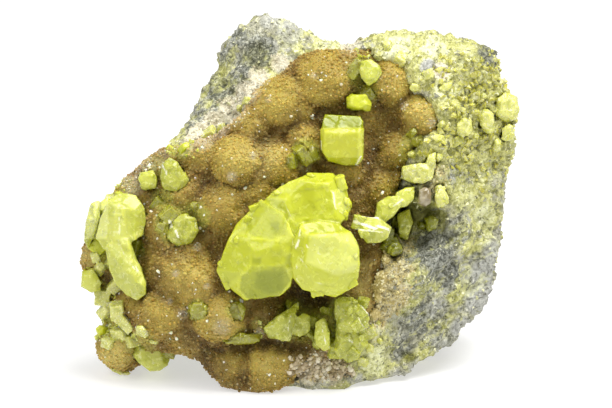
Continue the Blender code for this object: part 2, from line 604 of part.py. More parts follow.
def cut_pockets(rock, crust):
    """Leaves room in the rock and the crust for the roots of the crystals."""
    for names in CRYSTAL_NODES.values():
        for name in names:
            for host in (crust, rock):
                bm = pocket_mesh(name)
                bm.transform(UPRIGHT)
                combine(host, make_object(name + "_pocket", bm), "DIFFERENCE")


def seat_crust(rock, crust, triangles=1500):
    """Leaves room in the rock for the crust, and a little more for what thinning it out moves."""
    bm = bmesh.new()
    bm.from_mesh(crust.data)
    bm.normal_update()
    moves = [vert.normal * (GAP + SEAT_SPARE) * MM for vert in bm.verts]
    for vert, move in zip(bm.verts, moves):
        vert.co += move
    seat = make_object("crust_seat", bm)
    simplify(seat, 0.5 * MM, triangles)
    combine(rock, seat, "DIFFERENCE")


def settle_on_origin():
    """Moves the specimen so that the middle of its underside is the origin."""
    corners = [vert.co for obj in bpy.data.objects for vert in obj.data.vertices]
    low = Vector(min(corner[axis] for corner in corners) for axis in range(3))
    high = Vector(max(corner[axis] for corner in corners) for axis in range(3))
    shift = Matrix.Translation((-(low.x + high.x) / 2, -(low.y + high.y) / 2, -low.z))
    for obj in bpy.data.objects:
        obj.data.transform(shift)


def main():
    clear_scene()
    limestone = make_material("limestone", (0.42, 0.43, 0.33), 0.9)
    aragonite = make_material("aragonite", (0.38, 0.25, 0.07), 0.5)
    sulfur = make_material("sulfur", (0.68, 0.72, 0.10), 0.2)
    calcite = make_material("calcite", (0.42, 0.33, 0.20), 0.3)
    rock = make_rock(limestone)
    crust = make_crust(aragonite)
    seat_crust(rock, crust)
    cut_pockets(rock, crust)
    keep_largest_piece(rock)
    keep_largest_piece(crust)
    for node, names in CRYSTAL_NODES.items():
        make_crystals(node, names, calcite if node == "calcite_tablet" else sulfur)
    settle_on_origin()


main()
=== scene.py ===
"""Native sulfur on a brown aragonite crust, over a loose lump of grey limestone."""

import math

import bmesh
import bpy
from mathutils import Matrix, Vector, noise
from mathutils.bvhtree import BVHTree


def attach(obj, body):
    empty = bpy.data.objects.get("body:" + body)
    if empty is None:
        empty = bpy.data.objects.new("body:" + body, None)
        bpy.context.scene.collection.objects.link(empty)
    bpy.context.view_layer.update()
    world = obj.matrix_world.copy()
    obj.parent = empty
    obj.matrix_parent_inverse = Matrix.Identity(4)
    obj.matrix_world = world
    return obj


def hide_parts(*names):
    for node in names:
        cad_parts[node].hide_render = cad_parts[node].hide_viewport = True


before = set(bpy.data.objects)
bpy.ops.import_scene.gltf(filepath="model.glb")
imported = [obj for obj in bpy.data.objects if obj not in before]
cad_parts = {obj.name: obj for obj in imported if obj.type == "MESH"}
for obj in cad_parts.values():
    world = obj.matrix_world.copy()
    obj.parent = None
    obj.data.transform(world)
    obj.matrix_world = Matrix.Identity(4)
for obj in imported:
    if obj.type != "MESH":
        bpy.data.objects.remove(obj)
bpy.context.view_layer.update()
scene = bpy.context.scene

# ---- the limestone
# The lump that everything grew on: broken grey limestone, pitted and granular, and soaked
# with fine sulfur that shows as yellow-green mottling and as a pale rim along the top right.

MM = 0.001
LEAN = math.radians(15)
FACE_FOOT = Vector((0, -18.84, 0)) * MM  # where the leaning crystal face meets the ground
FACE_ACROSS = Vector((1, 0, 0))
FACE_UP = Vector((0, math.sin(LEAN), math.cos(LEAN)))
FACE_OUT = Vector((0, -math.cos(LEAN), math.sin(LEAN)))


def on_face(x, h, out=0.0):
    """A place across the leaning face, up it and out of it, in millimetres."""
    return FACE_FOOT + (FACE_ACROSS * x + FACE_UP * h + FACE_OUT * out) * MM


def face_place(point):
    """The other way round: how far across the face and up it a point is, in millimetres."""
    from_foot = (point - FACE_FOOT) / MM
    return from_foot.dot(FACE_ACROSS), from_foot.dot(FACE_UP)


def new_piece(name, bm):
    """A piece with this mesh, whose place is in the mesh."""
    mesh = bpy.data.meshes.new(name)
    bm.to_mesh(mesh)
    bm.free()
    piece = bpy.data.objects.new(name, mesh)
    scene.collection.objects.link(piece)
    return piece


def copy_of(node, name):
    """A piece that starts as the CAD solid, with its loose triangles merged."""
    bm = bmesh.new()
    bm.from_mesh(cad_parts[node].data)
    bmesh.ops.remove_doubles(bm, verts=bm.verts, dist=0.001 * MM)
    piece = new_piece(name, bm)
    piece.data.materials.clear()
    return piece


def settle(piece):
    """Makes the modifiers' result the piece's own mesh."""
    graph = bpy.context.evaluated_depsgraph_get()
    final = bpy.data.meshes.new_from_object(piece.evaluated_get(graph))
    piece.modifiers.clear()
    piece.data = final


def reskin(piece, voxel):
    """An even skin of small faces over the piece."""
    skin = piece.modifiers.new("skin", "REMESH")
    skin.mode = "VOXEL"
    skin.voxel_size = voxel
    skin.use_smooth_shade = True
    settle(piece)


def thin_out(piece, share):
    """Keeps this share of the triangles, most of them where the surface bends."""
    fewer = piece.modifiers.new("fewer", "DECIMATE")
    fewer.ratio = share
    settle(piece)


def move_out(piece, height):
    """Moves each point along its normal by what the height function gives for its place."""
    bm = bmesh.new()
    bm.from_mesh(piece.data)
    bm.normal_update()
    moves = [vert.normal * height(vert.co, vert.normal) for vert in bm.verts]
    for vert, move in zip(bm.verts, moves):
        vert.co += move
    bm.to_mesh(piece.data)
    bm.free()


def paint(piece, attribute, amount):
    """Gives each point a number, for the material to read."""
    values = [amount(vert.co, vert.normal) for vert in piece.data.vertices]
    layer = piece.data.attributes.new(attribute, "FLOAT", "POINT")
    layer.data.foreach_set("value", values)


def held(value):
    """The value, held between 0 and 1."""
    return min(1.0, max(0.0, value))


FADE_START, FADE_END = 18, 26  # how many mm behind the face the patches fade out


def patchy(patches):
    """How deep in the nearest patches a point lies, from 0 to 1. Each is x, h, radius, strength."""
    def amount(point, _normal):
        x, h = face_place(point)
        most = 0.0
        for patch_x, patch_h, radius, strength in patches:
            near = 1 - math.hypot(x - patch_x, h - patch_h) / radius
            most = max(most, min(1.0, near * 2) * strength)
        forward = (point - FACE_FOOT).dot(FACE_OUT) / MM
        return most * held((forward + FADE_END) / (FADE_END - FADE_START))
    return amount


def add_node(tree, kind, settings, values):
    """The outputs of a new node, whose sockets get the values, or links where they are sockets."""
    node = tree.nodes.new(kind)
    for name, value in settings.items():
        setattr(node, name, value)
    for socket, value in values.items():
        if isinstance(value, bpy.types.NodeSocket):
            tree.links.new(value, node.inputs[socket])
        else:
            node.inputs[socket].default_value = value
    return node.outputs


class Amount:
    """A number from a node's output, which sums and products can be written with."""

    def __init__(self, finish, socket):
        self.finish = finish
        self.socket = socket

    def __add__(self, other):
        return self.finish.maths("ADD", self, other)

    def __sub__(self, other):
        return self.finish.maths("SUBTRACT", self, other)

    def __rsub__(self, other):
        return self.finish.maths("SUBTRACT", other, self)

    def __mul__(self, other):
        return self.finish.maths("MULTIPLY", self, other)

    __radd__ = __add__
    __rmul__ = __mul__

    def between(self, low, high):
        """0 below low, 1 above high, and smooth between them."""
        values = {"Value": self, "From Min": low, "From Max": high}
        return self.finish.add("ShaderNodeMapRange", {"interpolation_type": "SMOOTHSTEP"}, values)


class Finish:
    """One material, with the nodes that vary it over the surface."""

    def __init__(self, name, **constants):
        self.material = bpy.data.materials.new(name)
        self.material.use_nodes = True
        self.tree = self.material.node_tree
        self.shader = self.tree.nodes["Principled BSDF"]
        for socket, value in constants.items():
            self.shader.inputs[socket.replace("_", " ")].default_value = value
        self.place = self.add("ShaderNodeTexCoord", {}, {}, "Object")
        self.colour = (1, 1, 1)

    def add(self, kind, settings, values, output=0):
        values = {key: getattr(value, "socket", value) for key, value in values.items()}
        return Amount(self, add_node(self.tree, kind, settings, values)[output])

    def maths(self, operation, first, second):
        return self.add("ShaderNodeMath", {"operation": operation}, {0: first, 1: second})

    def grain(self, size, detail=3.0, roughness=0.6, distortion=0.0, place=None):
        """Cloudy noise, from 0 to 1, with patches of about this size."""
        return self.add(
            "ShaderNodeTexNoise", {},
            {"Vector": place or self.place, "Scale": 0.6 / size, "Detail": detail,
             "Roughness": roughness, "Distortion": distortion},
        )

    def painted(self, attribute):
        return self.add("ShaderNodeAttribute", {"attribute_name": attribute}, {}, "Fac")

    def mix(self, share, first, second, how="MIX"):
        """Two colours, mixed by a share from 0 to 1."""
        first, second = (
            colour if isinstance(colour, Amount) else (*colour, 1) for colour in (first, second)
        )
        return self.add(
            "ShaderNodeMix", {"data_type": "RGBA", "blend_type": how},
            {0: share, 6: first, 7: second}, 2,
        )

    def lay(self, share, colour, how="MIX"):
        """Lays a colour over what the finish has so far."""
        self.colour = self.mix(share, self.colour, colour, how)

    def bump(self, height, depth, strength=1.0):
        values = {"Height": height, "Distance": depth, "Strength": strength}
        return self.add("ShaderNodeBump", {}, values)

    def feed(self, **inputs):
        for socket, value in inputs.items():
            self.tree.links.new(value.socket, self.shader.inputs[socket.replace("_", " ")])


SULFUR_PATCHES = [  # stone soaked with yellow sulfur
    (26, 70, 13, 0.9), (20, 71, 8, 0.8), (34, 67, 9, 0.7), (37, 58, 10, 0.9), (38, 50, 8, 0.8),
    (33, 52, 9, 0.8), (31, 59, 8, 0.8), (28, 48, 6, 0.9), (33, 43, 8, 0.7), (24, 36, 6, 0.7),
    (20, 30, 6, 0.4), (-18, 62, 4, 0.5), (-14, 60, 5, 0.7), (-9, 63, 4, 0.6), (12, 8, 6, 0.8),
    (17, 12, 4, 0.5), (26, 21, 3, 0.4), (32, 20, 3, 0.6), (-24, 50, 5, 0.9), (37, 36, 4, 0.8),
    (35, 31, 4, 0.6), (5, 71, 8, 0.4), (22, 24, 3, 0.7), (25, 8, 3, 0.5), (-16, 66, 3, 0.5),
    (21, 18, 3, 0.5), (28, 15, 3, 0.4), (33, 12, 2.5, 0.4), (17, 5, 3, 0.4),
]
PALE_PATCHES = [  # powdery, nearly white sulfur
    (19, 69, 3.4, 1), (27, 69.4, 3.2, 0.8), (23, 71, 6, 0.25), (-3, 73, 6, 0.15),
    (-8, 74.5, 4, 0.2), (29, 61, 3.4, 0.7), (28, 64, 2.6, 0.6), (37, 55, 3, 0.4), (38, 30, 4, 0.3),
    (35, 22, 4, 0.35), (14, 7, 5, 0.5), (38, 44, 4, 0.4), (6, 70, 6, 0.3), (34, 66, 5, 0.3),
    (13, 12, 4, 0.5), (33, 38, 4, 0.3), (37, 36, 3, 0.5),
]
TAN_PATCHES = [  # the ochre ledge
    (15, 29, 5, 1), (17, 25, 6, 1), (18, 20, 5, 0.9), (15.4, 16, 4, 0.8), (20, 30, 4, 0.6),
    (14, 12, 3, 0.5), (20.4, 25, 4, 0.5), (27, 43, 4, 0.4), (6, 5, 4, 0.6), (2, 3.6, 3, 0.5),
]
ASH_PATCHES = [  # bare light grey stone
    (37.6, 23.6, 4.6, 1), (36.4, 18.4, 4.4, 0.9), (33, 12.6, 4, 0.7), (38.8, 28.4, 3.4, 0.7),
    (29.4, 8.6, 3.6, 0.5), (25.8, 65.4, 2.6, 0.9), (-2, 72.6, 4, 0.5), (23.6, 5, 3, 0.5),
    (27.6, 17, 3.4, 0.6), (19.6, 12.6, 3.4, 0.5), (28.4, 68, 2, 0.6), (-6.4, 75, 3, 0.6),
]
DARK_PATCHES = [  # bare dark grey stone
    (-8, 68.6, 5, 0.85), (-10.5, 66, 4, 0.8), (-15.6, 68, 3.4, 0.7), (-16, 61, 5, 0.7),
    (-19, 57, 4, 0.6), (-12.4, 71.6, 3, 0.7), (-13, 63.4, 3.4, 0.6), (-4, 71.4, 3, 0.4),
    (-21.6, 53.6, 3, 0.5), (-18.6, 63.6, 3.4, 0.7), (-15.6, 71.6, 3, 0.6), (27, 29, 6, 0.9),
    (32, 32, 4, 0.7), (29, 24, 5, 0.8), (24, 15, 5, 0.7), (20, 9, 4, 0.6), (35, 27, 2.5, 0.6),
    (28, 12, 5, 0.6), (38.6, 68.6, 4, 0.9), (25, 65.4, 2, 0.4), (37, 33, 3, 0.5), (30, 7, 4, 0.6),
    (33, 17, 3, 0.5), (30, 44, 3, 0.5), (34, 42, 3, 0.4), (25, 22, 4, 0.6), (23, 27, 3, 0.5),
    (15, 9, 3, 0.4), (26, 38, 3, 0.4),
]
SHADE_PATCHES = [  # painted shade in the vug, the pit and under the overhang at the foot; elsewhere darker stone
    (-8.4, 67.6, 4, 0.6), (-16, 61, 4, 0.4), (38, 69, 4, 0.5), (21, 36.5, 5, 0.85),
    (24, 38, 4, 0.7), (18, 33.6, 3, 0.6), (22.2, 7.2, 1.5, 1), (21.2, 7.6, 1.2, 0.9),
    (8, 1, 3, 0.5), (14, 1.4, 3, 0.4),
]
FROST_PATCHES = [  # a rime of white crystals
    (-20, 51.5, 3.6, 1), (-17, 54, 3.6, 1), (-13.5, 57, 3.6, 1), (-10.5, 60.5, 3.4, 0.9),
    (-8.5, 63.5, 2.8, 0.8), (-4, 66.4, 2.6, 0.5), (19, 26, 3, 0.3), (20, 22, 3, 0.3),
    (6, 5, 4, 0.9), (2, 4, 3, 0.9), (28, 64.6, 2.4, 0.9), (13, 12, 3, 0.4), (10, 70, 3, 0.5),
    (0.6, 5.4, 1.8, 0.8), (3, 7.4, 1.8, 0.8), (6, 8.4, 2, 0.8), (-23, 49.5, 2.5, 0.6),
    (-31, 45.6, 3, 0.7), (-33.6, 42, 3, 0.8), (-28, 47.4, 2.4, 0.4),
]
LUMPY_PATCHES = [  # where the rim is broken into small lumps
    (37, 58, 12, 1), (33, 51, 8, 0.8), (30, 62, 7, 0.6), (38, 47, 7, 0.6), (28, 50, 6, 0.5),
]
MOUNDS = [  # x, h, radius, rise: the knob's top, its shoulder, and a dent near the foot
    (-6.4, 75, 6, 1.7), (-12.4, 72.4, 4, 1), (27, 5, 6, -1.1),
]
LAYER_SLOPE = math.radians(38)
ROCK_SKIN = 0.5 * MM


def facets(point, size, steepness):
    """Relief of flat faces of about this size, each tilted its own way."""
    place = point / size
    centre = noise.voronoi(place)[1][0]
    tilt = noise.cell_vector(centre * 9) - Vector((0.5, 0.5, 0.5))
    return (place - centre).dot(tilt) * steepness * size


def weathered(point, normal):
    """The relief of the broken rock: ledges, slanting layers, pits, mounds and flat breaks."""
    x, h = face_place(point)
    lumps = patchy(LUMPY_PATCHES)(point, normal)
    ledges = noise.fractal(point / (6 * MM), 0.8, 2.2, 3) * 0.7
    low = held((40 - h) / 14)
    layer = Vector((x * 0.8 + h * 0.6, (h * 0.8 - x * 0.6) * 3.4, point.y / MM)) / 7
    layers = noise.fractal(layer, 0.8, 2.2, 2) * 0.75 * low
    breaks = facets(point, 3.4 * MM, 0.35) + facets(point, 1.5 * MM, 0.8 + 0.5 * lumps)
    pits = -max(0.0, noise.noise(point / (2.2 * MM)) - 0.2) * 2
    relief = ledges + layers + pits
    for mound_x, mound_h, radius, rise in MOUNDS:
        relief += max(0.0, 1 - math.hypot(x - mound_x, h - mound_h) / radius) * rise
    foot = held(point.z / (1.5 * MM))
    return (relief * MM + breaks) * foot


def layered(point, _normal):
    """Where the rock shows its slanting layers: low on the right, and on the knob."""
    x, h = face_place(point)
    low = 0.85 * held((44 - h) / 10) * held((x - 10) / 6)
    knob = 0.6 * held((h - 54) / 6) * held((-3 - x) / 6)
    return low + knob


def limestone():
    """Grey stone, and over it sulfur, slate, ash, sand, chalk and rime where each is painted."""
    finish = Finish("limestone", Roughness=0.85, IOR=1.5)
    along_layers = finish.add(
        "ShaderNodeMapping", {"vector_type": "TEXTURE"},
        {"Vector": finish.place, "Rotation": (0, -LAYER_SLOPE, 0), "Scale": (3.2, 1, 1)},
    )
    sulfur, pale, tan, dark, frost = map(finish.painted, ("sulfur", "pale", "tan", "dark", "frost"))
    broad = finish.grain(3.4 * MM, 4)
    mottle = finish.grain(1.5 * MM, 4, 0.65)
    bands = finish.grain(1.1 * MM, 4, 0.65, 0.5, along_layers)
    mottle = mottle + (bands - mottle) * finish.painted("layered")
    seams = finish.grain(0.8 * MM, 3, 0.6, 0.9, along_layers)
    fine = finish.grain(0.5 * MM, 3, 0.75)
    specks = finish.grain(0.6 * MM, 2, 0.5, 0.6)
    glint_flecks = finish.grain(0.42 * MM, 2, 0.6, 1.2)
    finish.colour = finish.mix(fine.between(0.35, 0.65), (0.22, 0.22, 0.155), (0.57, 0.55, 0.4))
    finish.lay(broad.between(0.5, 0.62) * 0.6, (0.5, 0.5, 0.46))
    green = finish.mix(fine.between(0.35, 0.65), (0.35, 0.35, 0.065), (0.73, 0.72, 0.26))
    finish.lay((sulfur * 0.28 + mottle).between(0.44, 0.66) * 0.9, green)
    slate = finish.mix(fine.between(0.38, 0.62), (0.1, 0.105, 0.08), (0.42, 0.425, 0.36))
    finish.lay((dark * 0.45 + mottle * -1).between(-0.36, -0.1), slate)
    ash = finish.mix(fine.between(0.35, 0.65), (0.3, 0.3, 0.26), (0.58, 0.58, 0.52))
    finish.lay((finish.painted("ash") * 0.5 + mottle).between(0.62, 0.86), ash)
    sand = finish.mix(fine.between(0.35, 0.65), (0.42, 0.34, 0.15), (0.74, 0.66, 0.42))
    finish.lay((tan * 0.5 + mottle).between(0.6, 0.84) * 0.9, sand)
    chalk = finish.mix(fine.between(0.3, 0.6), (0.6, 0.61, 0.24), (0.85, 0.86, 0.52))
    finish.lay((pale * 0.42 + mottle).between(0.56, 0.8), chalk)
    rime = finish.mix(fine.between(0.3, 0.7), (0.54, 0.48, 0.33), (0.82, 0.78, 0.6))
    finish.lay((frost * 0.6 + mottle).between(0.62, 0.85), rime)
    spots = (specks + dark * 0.04).between(0.6, 0.68)
    finish.lay(spots * 0.75, (0.09, 0.09, 0.05))
    cracks = seams.between(0.38, 0.32) * (0.3 + finish.painted("layered") * 0.5)
    finish.lay(cracks, (0.1, 0.1, 0.06))
    glints = glint_flecks.between(0.62, 0.68)
    finish.lay(glints * 0.75, (0.9, 0.89, 0.72))
    # painted shade: darkens the places in the shade patches and tints them olive
    finish.lay(finish.painted("shade"), (0.42, 0.42, 0.16), "MULTIPLY")
    relief = finish.bump(fine + specks * 0.8 + mottle * 0.6, 0.5 * MM, 0.9)
    finish.feed(
        Base_Color=finish.colour, Roughness=0.9 - sulfur * 0.35 - glints * 0.3, Normal=relief
    )
    return finish.material


rock = copy_of("matrix_rock", "limestone_lump")
reskin(rock, ROCK_SKIN)
move_out(rock, weathered)
for attribute, patches in (
    ("sulfur", SULFUR_PATCHES), ("pale", PALE_PATCHES), ("tan", TAN_PATCHES), ("ash", ASH_PATCHES),
    ("dark", DARK_PATCHES), ("shade", SHADE_PATCHES), ("frost", FROST_PATCHES),
    ("lumpy", LUMPY_PATCHES),
):
    paint(rock, attribute, patchy(patches))
paint(rock, "layered", layered)
rock.data.materials.append(limestone())
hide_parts("matrix_rock")
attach(rock, "root")

# ---- the aragonite crust
# A lumpy crust of honey-brown aragonite over the left and middle of the face. Its surface is
# thousands of tiny pointed crystals, paler on the lumps, with painted shade darkening the hollows.

CRUST_SKIN = 0.42 * MM
crust = copy_of("druse_crust", "aragonite_crust")
reskin(crust, CRUST_SKIN)

HEADS = [  # x, h, radius, rise: the rounded heads that the crust swells into
    (-4.6, 58.6, 5.6, 1.6), (4.6, 63.4, 6.2, 1.6), (9.5, 67, 4, 1), (18.3, 62.6, 4.6, 1.6),
    (24.4, 56, 4.6, 1.5), (20, 49, 4.6, 1.2), (18, 41.4, 4.4, 1.1), (-13, 46.8, 5, 1.9),
    (-3.6, 45.8, 4.8, 1.3), (1.6, 50.6, 4.4, 1.2), (-15.4, 37.6, 6, 1.3), (-22.6, 22.8, 6.4, 1.5),
    (-15.6, 15.4, 5.6, 1.9), (-28.6, 15.4, 5.4, 1.2), (-26.4, 33.2, 5, 1), (-6.2, 5.4, 5.4, 1.5),
    (-14.4, 6.2, 4.6, 1), (-37, 8, 4.6, 1.2), (-20.4, 48.6, 4.4, 1.1), (-24, 41, 4.4, 1),
    (-10.4, 53.8, 4.2, 1.1), (-8.6, 40.4, 4.2, 1.2), (1, 5, 4.2, 1), (-29.6, 25.6, 4.6, 1),
    (9.6, 45.6, 4, 1), (-33.6, 18.2, 3.6, 1), (0.6, 57.6, 3.6, 0.9), (13.6, 55.2, 3.6, 0.8),
    (-41.2, 27.2, 3.2, 0.8), (-32.6, 37.2, 4.2, 0.9), (-21.8, 31, 4, 1), (-23.4, 8.6, 4.4, 0.9),
]


def crest(point, _normal=None):
    """How high a point stands on its rounded head, in millimetres."""
    x, h = face_place(point)
    x += 1.3 * noise.noise(point / (4 * MM))
    h += 1.3 * noise.noise(point / (4 * MM) + Vector((9, 0, 0)))
    rise = 0.0
    for head_x, head_h, radius, height in HEADS:
        near = 1 - ((x - head_x) ** 2 + (h - head_h) ** 2) / radius**2
        rise = max(rise, height * math.sqrt(max(0.0, near)))
    return rise


def crusted(point, normal):
    """The relief of the crust: its heads, and the smaller buds and beads on them."""
    buds = 0.55 - noise.voronoi(point / (2.6 * MM))[0][0] ** 2
    beads = facets(point, 1.6 * MM, 0.35) / MM
    facing = held(normal.dot(FACE_OUT) * 2 - 0.2)
    foot = held(point.z / (1.2 * MM))
    return ((crest(point) - 0.5) * 0.85 * facing + buds * 0.6 + beads) * foot * MM


paint(crust, "crest", crest)
move_out(crust, crusted)

GOLDEN_TURN = 2.39996  # spreads the rays evenly


def shelter(tree, reach=5 * MM, rays=14):
    """How much of the sky over a point is closed in, from 0 on a ridge to 1 in a hole."""
    def amount(point, normal):
        side = normal.orthogonal().normalized()
        other = normal.cross(side)
        start = point + normal * 0.25 * MM
        hits = 0
        for number in range(rays):
            turn = number * GOLDEN_TURN
            lift = (number + 0.5) / rays
            flat = math.sqrt(1 - lift * lift)
            way = normal * lift + (side * math.cos(turn) + other * math.sin(turn)) * flat
            if tree.ray_cast(start, way, reach)[0] is not None:
                hits += 1
        return hits / rays
    return amount


graph = bpy.context.evaluated_depsgraph_get()
paint(crust, "hollow", shelter(BVHTree.FromObject(crust, graph)))


def outward(point, normal):
    """1 on the side that shows, and 0 on the side that lies against the rock."""
    return 1.0 if normal.dot(FACE_OUT) > -0.35 and point.z > 0.4 * MM else 0.0


GREEN_PATCHES = [  # where sulfur tints the crust
    (-25, 34, 5.5, 0.9), (-21, 35.4, 4.5, 0.8), (-40, 34.6, 4.5, 1), (-38.6, 27, 3.5, 0.8),
    (-38, 12.6, 4, 0.8), (-41, 21, 3.5, 0.9), (-39.6, 17, 3.5, 0.8), (-20.4, 16.8, 3, 0.9),
    (-13.4, 16.6, 2.6, 0.7), (0, 15, 6.5, 0.8), (8, 14, 7, 1), (10, 8, 4.5, 0.9),
    (12.6, 64, 5, 0.7), (13.4, 60, 4, 0.6), (-1.6, 61.4, 3, 0.35), (1.2, 48.6, 4, 0.8),
    (22.6, 48.8, 4.5, 0.8), (-27.6, 39, 3.5, 0.7), (-28.6, 45, 4.5, 0.6), (-35.4, 41, 4, 0.6),
    (-24, 49.6, 4, 0.8), (-11.6, 11.2, 3.5, 0.5), (-32.8, 28.6, 3, 0.8), (-32, 10, 5, 0.6),
    (25, 60.6, 3, 0.5), (-14, 57.4, 3, 0.3), (17, 56, 3, 0.3), (-8, 14, 3, 0.5),
]
CRUST_SHADE = [  # painted shade in the clefts, under the ledges and under the main crystal
    (2, 19.4, 3.4, 1), (4.6, 18.4, 2.4, 0.8), (-1, 20.4, 2.2, 0.8), (-19, 9.6, 2, 0.8),
    (-16, 9.4, 2, 0.8), (-13, 9.4, 2, 0.8), (-10, 9.8, 2, 0.9), (-7, 9.8, 2, 0.9),
    (-4, 9.4, 2, 0.8), (-1, 9, 2.2, 0.8), (1.4, 8, 2, 0.7), (-21.6, 11, 3, 0.6), (-29, 24, 3, 0.45),
    (-26.6, 20, 3, 0.4), (-20, 32, 2.6, 0.5), (-37, 20.4, 1.4, 0.8), (-39, 23, 1.8, 0.8),
    (-31.4, 27, 1.8, 0.8), (-18, 41.4, 2.6, 0.4), (-1.4, 55.4, 3, 0.4), (4.4, 56, 3, 0.4),
    (16.6, 58.4, 2.4, 0.5), (13.6, 47, 3, 0.4), (22.4, 40.6, 2, 0.5), (9.6, 34, 2.4, 0.5),
    (-8, 51.4, 2.4, 0.4), (-11, 42.6, 2.4, 0.4), (-24, 27.6, 3, 0.3), (-16.4, 5, 3, 0.4),
    (-19.4, 6, 3, 0.5), (-11.6, 3.6, 2.4, 0.3),
]
GLOW_PATCHES = [  # painted glow: paler honey that stands in for light shining through the crust
    (-37.4, 7.8, 4, 0.6), (24.4, 56, 4, 0.3), (-7.6, 47.6, 4.5, 0.35), (18.6, 62.4, 3.4, 0.15),
    (-42.6, 27.4, 2.6, 0.5), (-13.4, 47, 4, 0.15), (-15.6, 15.4, 4, 0.2), (-5.6, 5.4, 3.4, 0.2),
    (20.4, 49, 3, 0.2), (11.4, 25, 3.4, 0.3), (12.6, 21, 3.4, 0.3), (13, 17.4, 3, 0.25),
    (-3.6, 39.6, 3.4, 0.2), (-22.6, 22.6, 4, 0.15),
]
SPARKLES = [  # small nests of white crystals
    (-13.6, 43.4, 1.3, 1), (-24.8, 24.2, 0.9, 1), (-20.6, 29.4, 1, 1), (-26, 18.6, 0.8, 1),
    (1, 45.4, 1.8, 0.8), (-18.6, 21.6, 0.8, 0.9), (-9.4, 47.6, 1, 0.8), (15.6, 63.4, 1, 0.9),
    (26.4, 54.2, 1.2, 0.8), (-6.4, 59, 0.9, 0.7), (-4, 10.8, 1.2, 0.8), (-8, 12.4, 1.2, 0.9),
    (-15.6, 13.4, 2.2, 0.6), (-23.4, 16, 1.2, 0.8), (2.8, 63.6, 0.9, 0.7), (20.8, 57.8, 1, 0.7),
]
paint(crust, "bare", outward)
paint(crust, "frost", patchy(FROST_PATCHES + SPARKLES))
paint(crust, "green", patchy(GREEN_PATCHES))
paint(crust, "glow", patchy(GLOW_PATCHES))
paint(crust, "shade", patchy(CRUST_SHADE))


def aragonite(name, tinted):
    """Honey on the heads and olive brown between them. Tinted grains each vary a little."""
    finish = Finish(name, Roughness=0.25, IOR=1.6, Subsurface_Weight=0.6, Specular_IOR_Level=0.35)
    finish.shader.inputs["Subsurface Radius"].default_value = (1.0, 0.6, 0.25)
    finish.shader.inputs["Subsurface Scale"].default_value = 0.9 * MM
    hollow = finish.painted("hollow")
    broad = finish.grain(5 * MM, 3)
    fine = finish.grain(0.8 * MM, 3, 0.7)
    height = finish.painted("crest")
    finish.colour = finish.mix(broad.between(0.35, 0.65), (0.155, 0.09, 0.01), (0.225, 0.14, 0.016))
    honey = finish.mix(broad.between(0.35, 0.65), (0.375, 0.262, 0.038), (0.465, 0.342, 0.057))
    finish.lay((height + fine).between(0.8, 1.9), honey)
    mottle = finish.grain(1.5 * MM, 4, 0.7)
    rough = 1 - height.between(0.3, 1.3) * 0.65
    finish.lay(mottle.between(0.52, 0.72) * 0.4 * rough, (0.62, 0.49, 0.15))
    finish.lay(mottle.between(0.48, 0.3) * 0.7 * rough, (0.15, 0.08, 0.01))
    green = (finish.painted("green") + fine * 0.5).between(0.5, 1.1)
    finish.lay(green * 0.75, (0.42, 0.41, 0.06))
    # painted light: paler honey on the glow patches
    finish.lay(finish.painted("glow"), (0.68, 0.54, 0.16))
    finish.lay(finish.painted("frost") * 0.55, (0.6, 0.5, 0.34))
    # painted shade: darkens the clefts and the places under the ledges
    finish.lay(finish.painted("shade"), (0.3, 0.24, 0.12), "MULTIPLY")
    # painted shade: darker brown where the sky over the crust is closed in
    finish.lay(hollow.between(0.45, 0.95), (0.15, 0.085, 0.014))
    if tinted:
        tint = finish.painted("tint")
        finish.lay(tint.between(0.5, 0.95) * 0.35 * rough, (0.6, 0.48, 0.19))
        finish.lay(tint.between(0.5, 0.1) * 0.4 * rough, (0.2, 0.12, 0.02))
        # painted sparkle: a few grains are coloured near white and made glossier, in place of
        # glints
        bright = tint.between(0.978, 0.986)
        finish.lay(bright, (0.88, 0.83, 0.64))
        finish.feed(Roughness=0.65 - bright * 0.3)
    else:
        finish.feed(Normal=finish.bump(fine, 0.2 * MM, 0.5), Roughness=0.6 + hollow * 0.2)
    finish.feed(Base_Color=finish.colour)
    return finish.material


crust.data.materials.append(aragonite("aragonite_crust", tinted=False))
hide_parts("druse_crust")
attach(crust, "root")


def add_prism(bm, sides, foot, top, height, **place):
    """A prism that narrows or widens from its foot to its top."""
    bmesh.ops.create_cone(
        bm, cap_ends=True, segments=sides, radius1=foot, radius2=top, depth=height, **place
    )


def pointed_crystal(name, radius, height, sides):
    """A small pyramid, standing on its root."""
    bm = bmesh.new()
    add_prism(bm, sides, radius, 0, height)
    bmesh.ops.translate(bm, verts=bm.verts, vec=(0, 0, height * 0.25))
    return new_piece(name, bm)


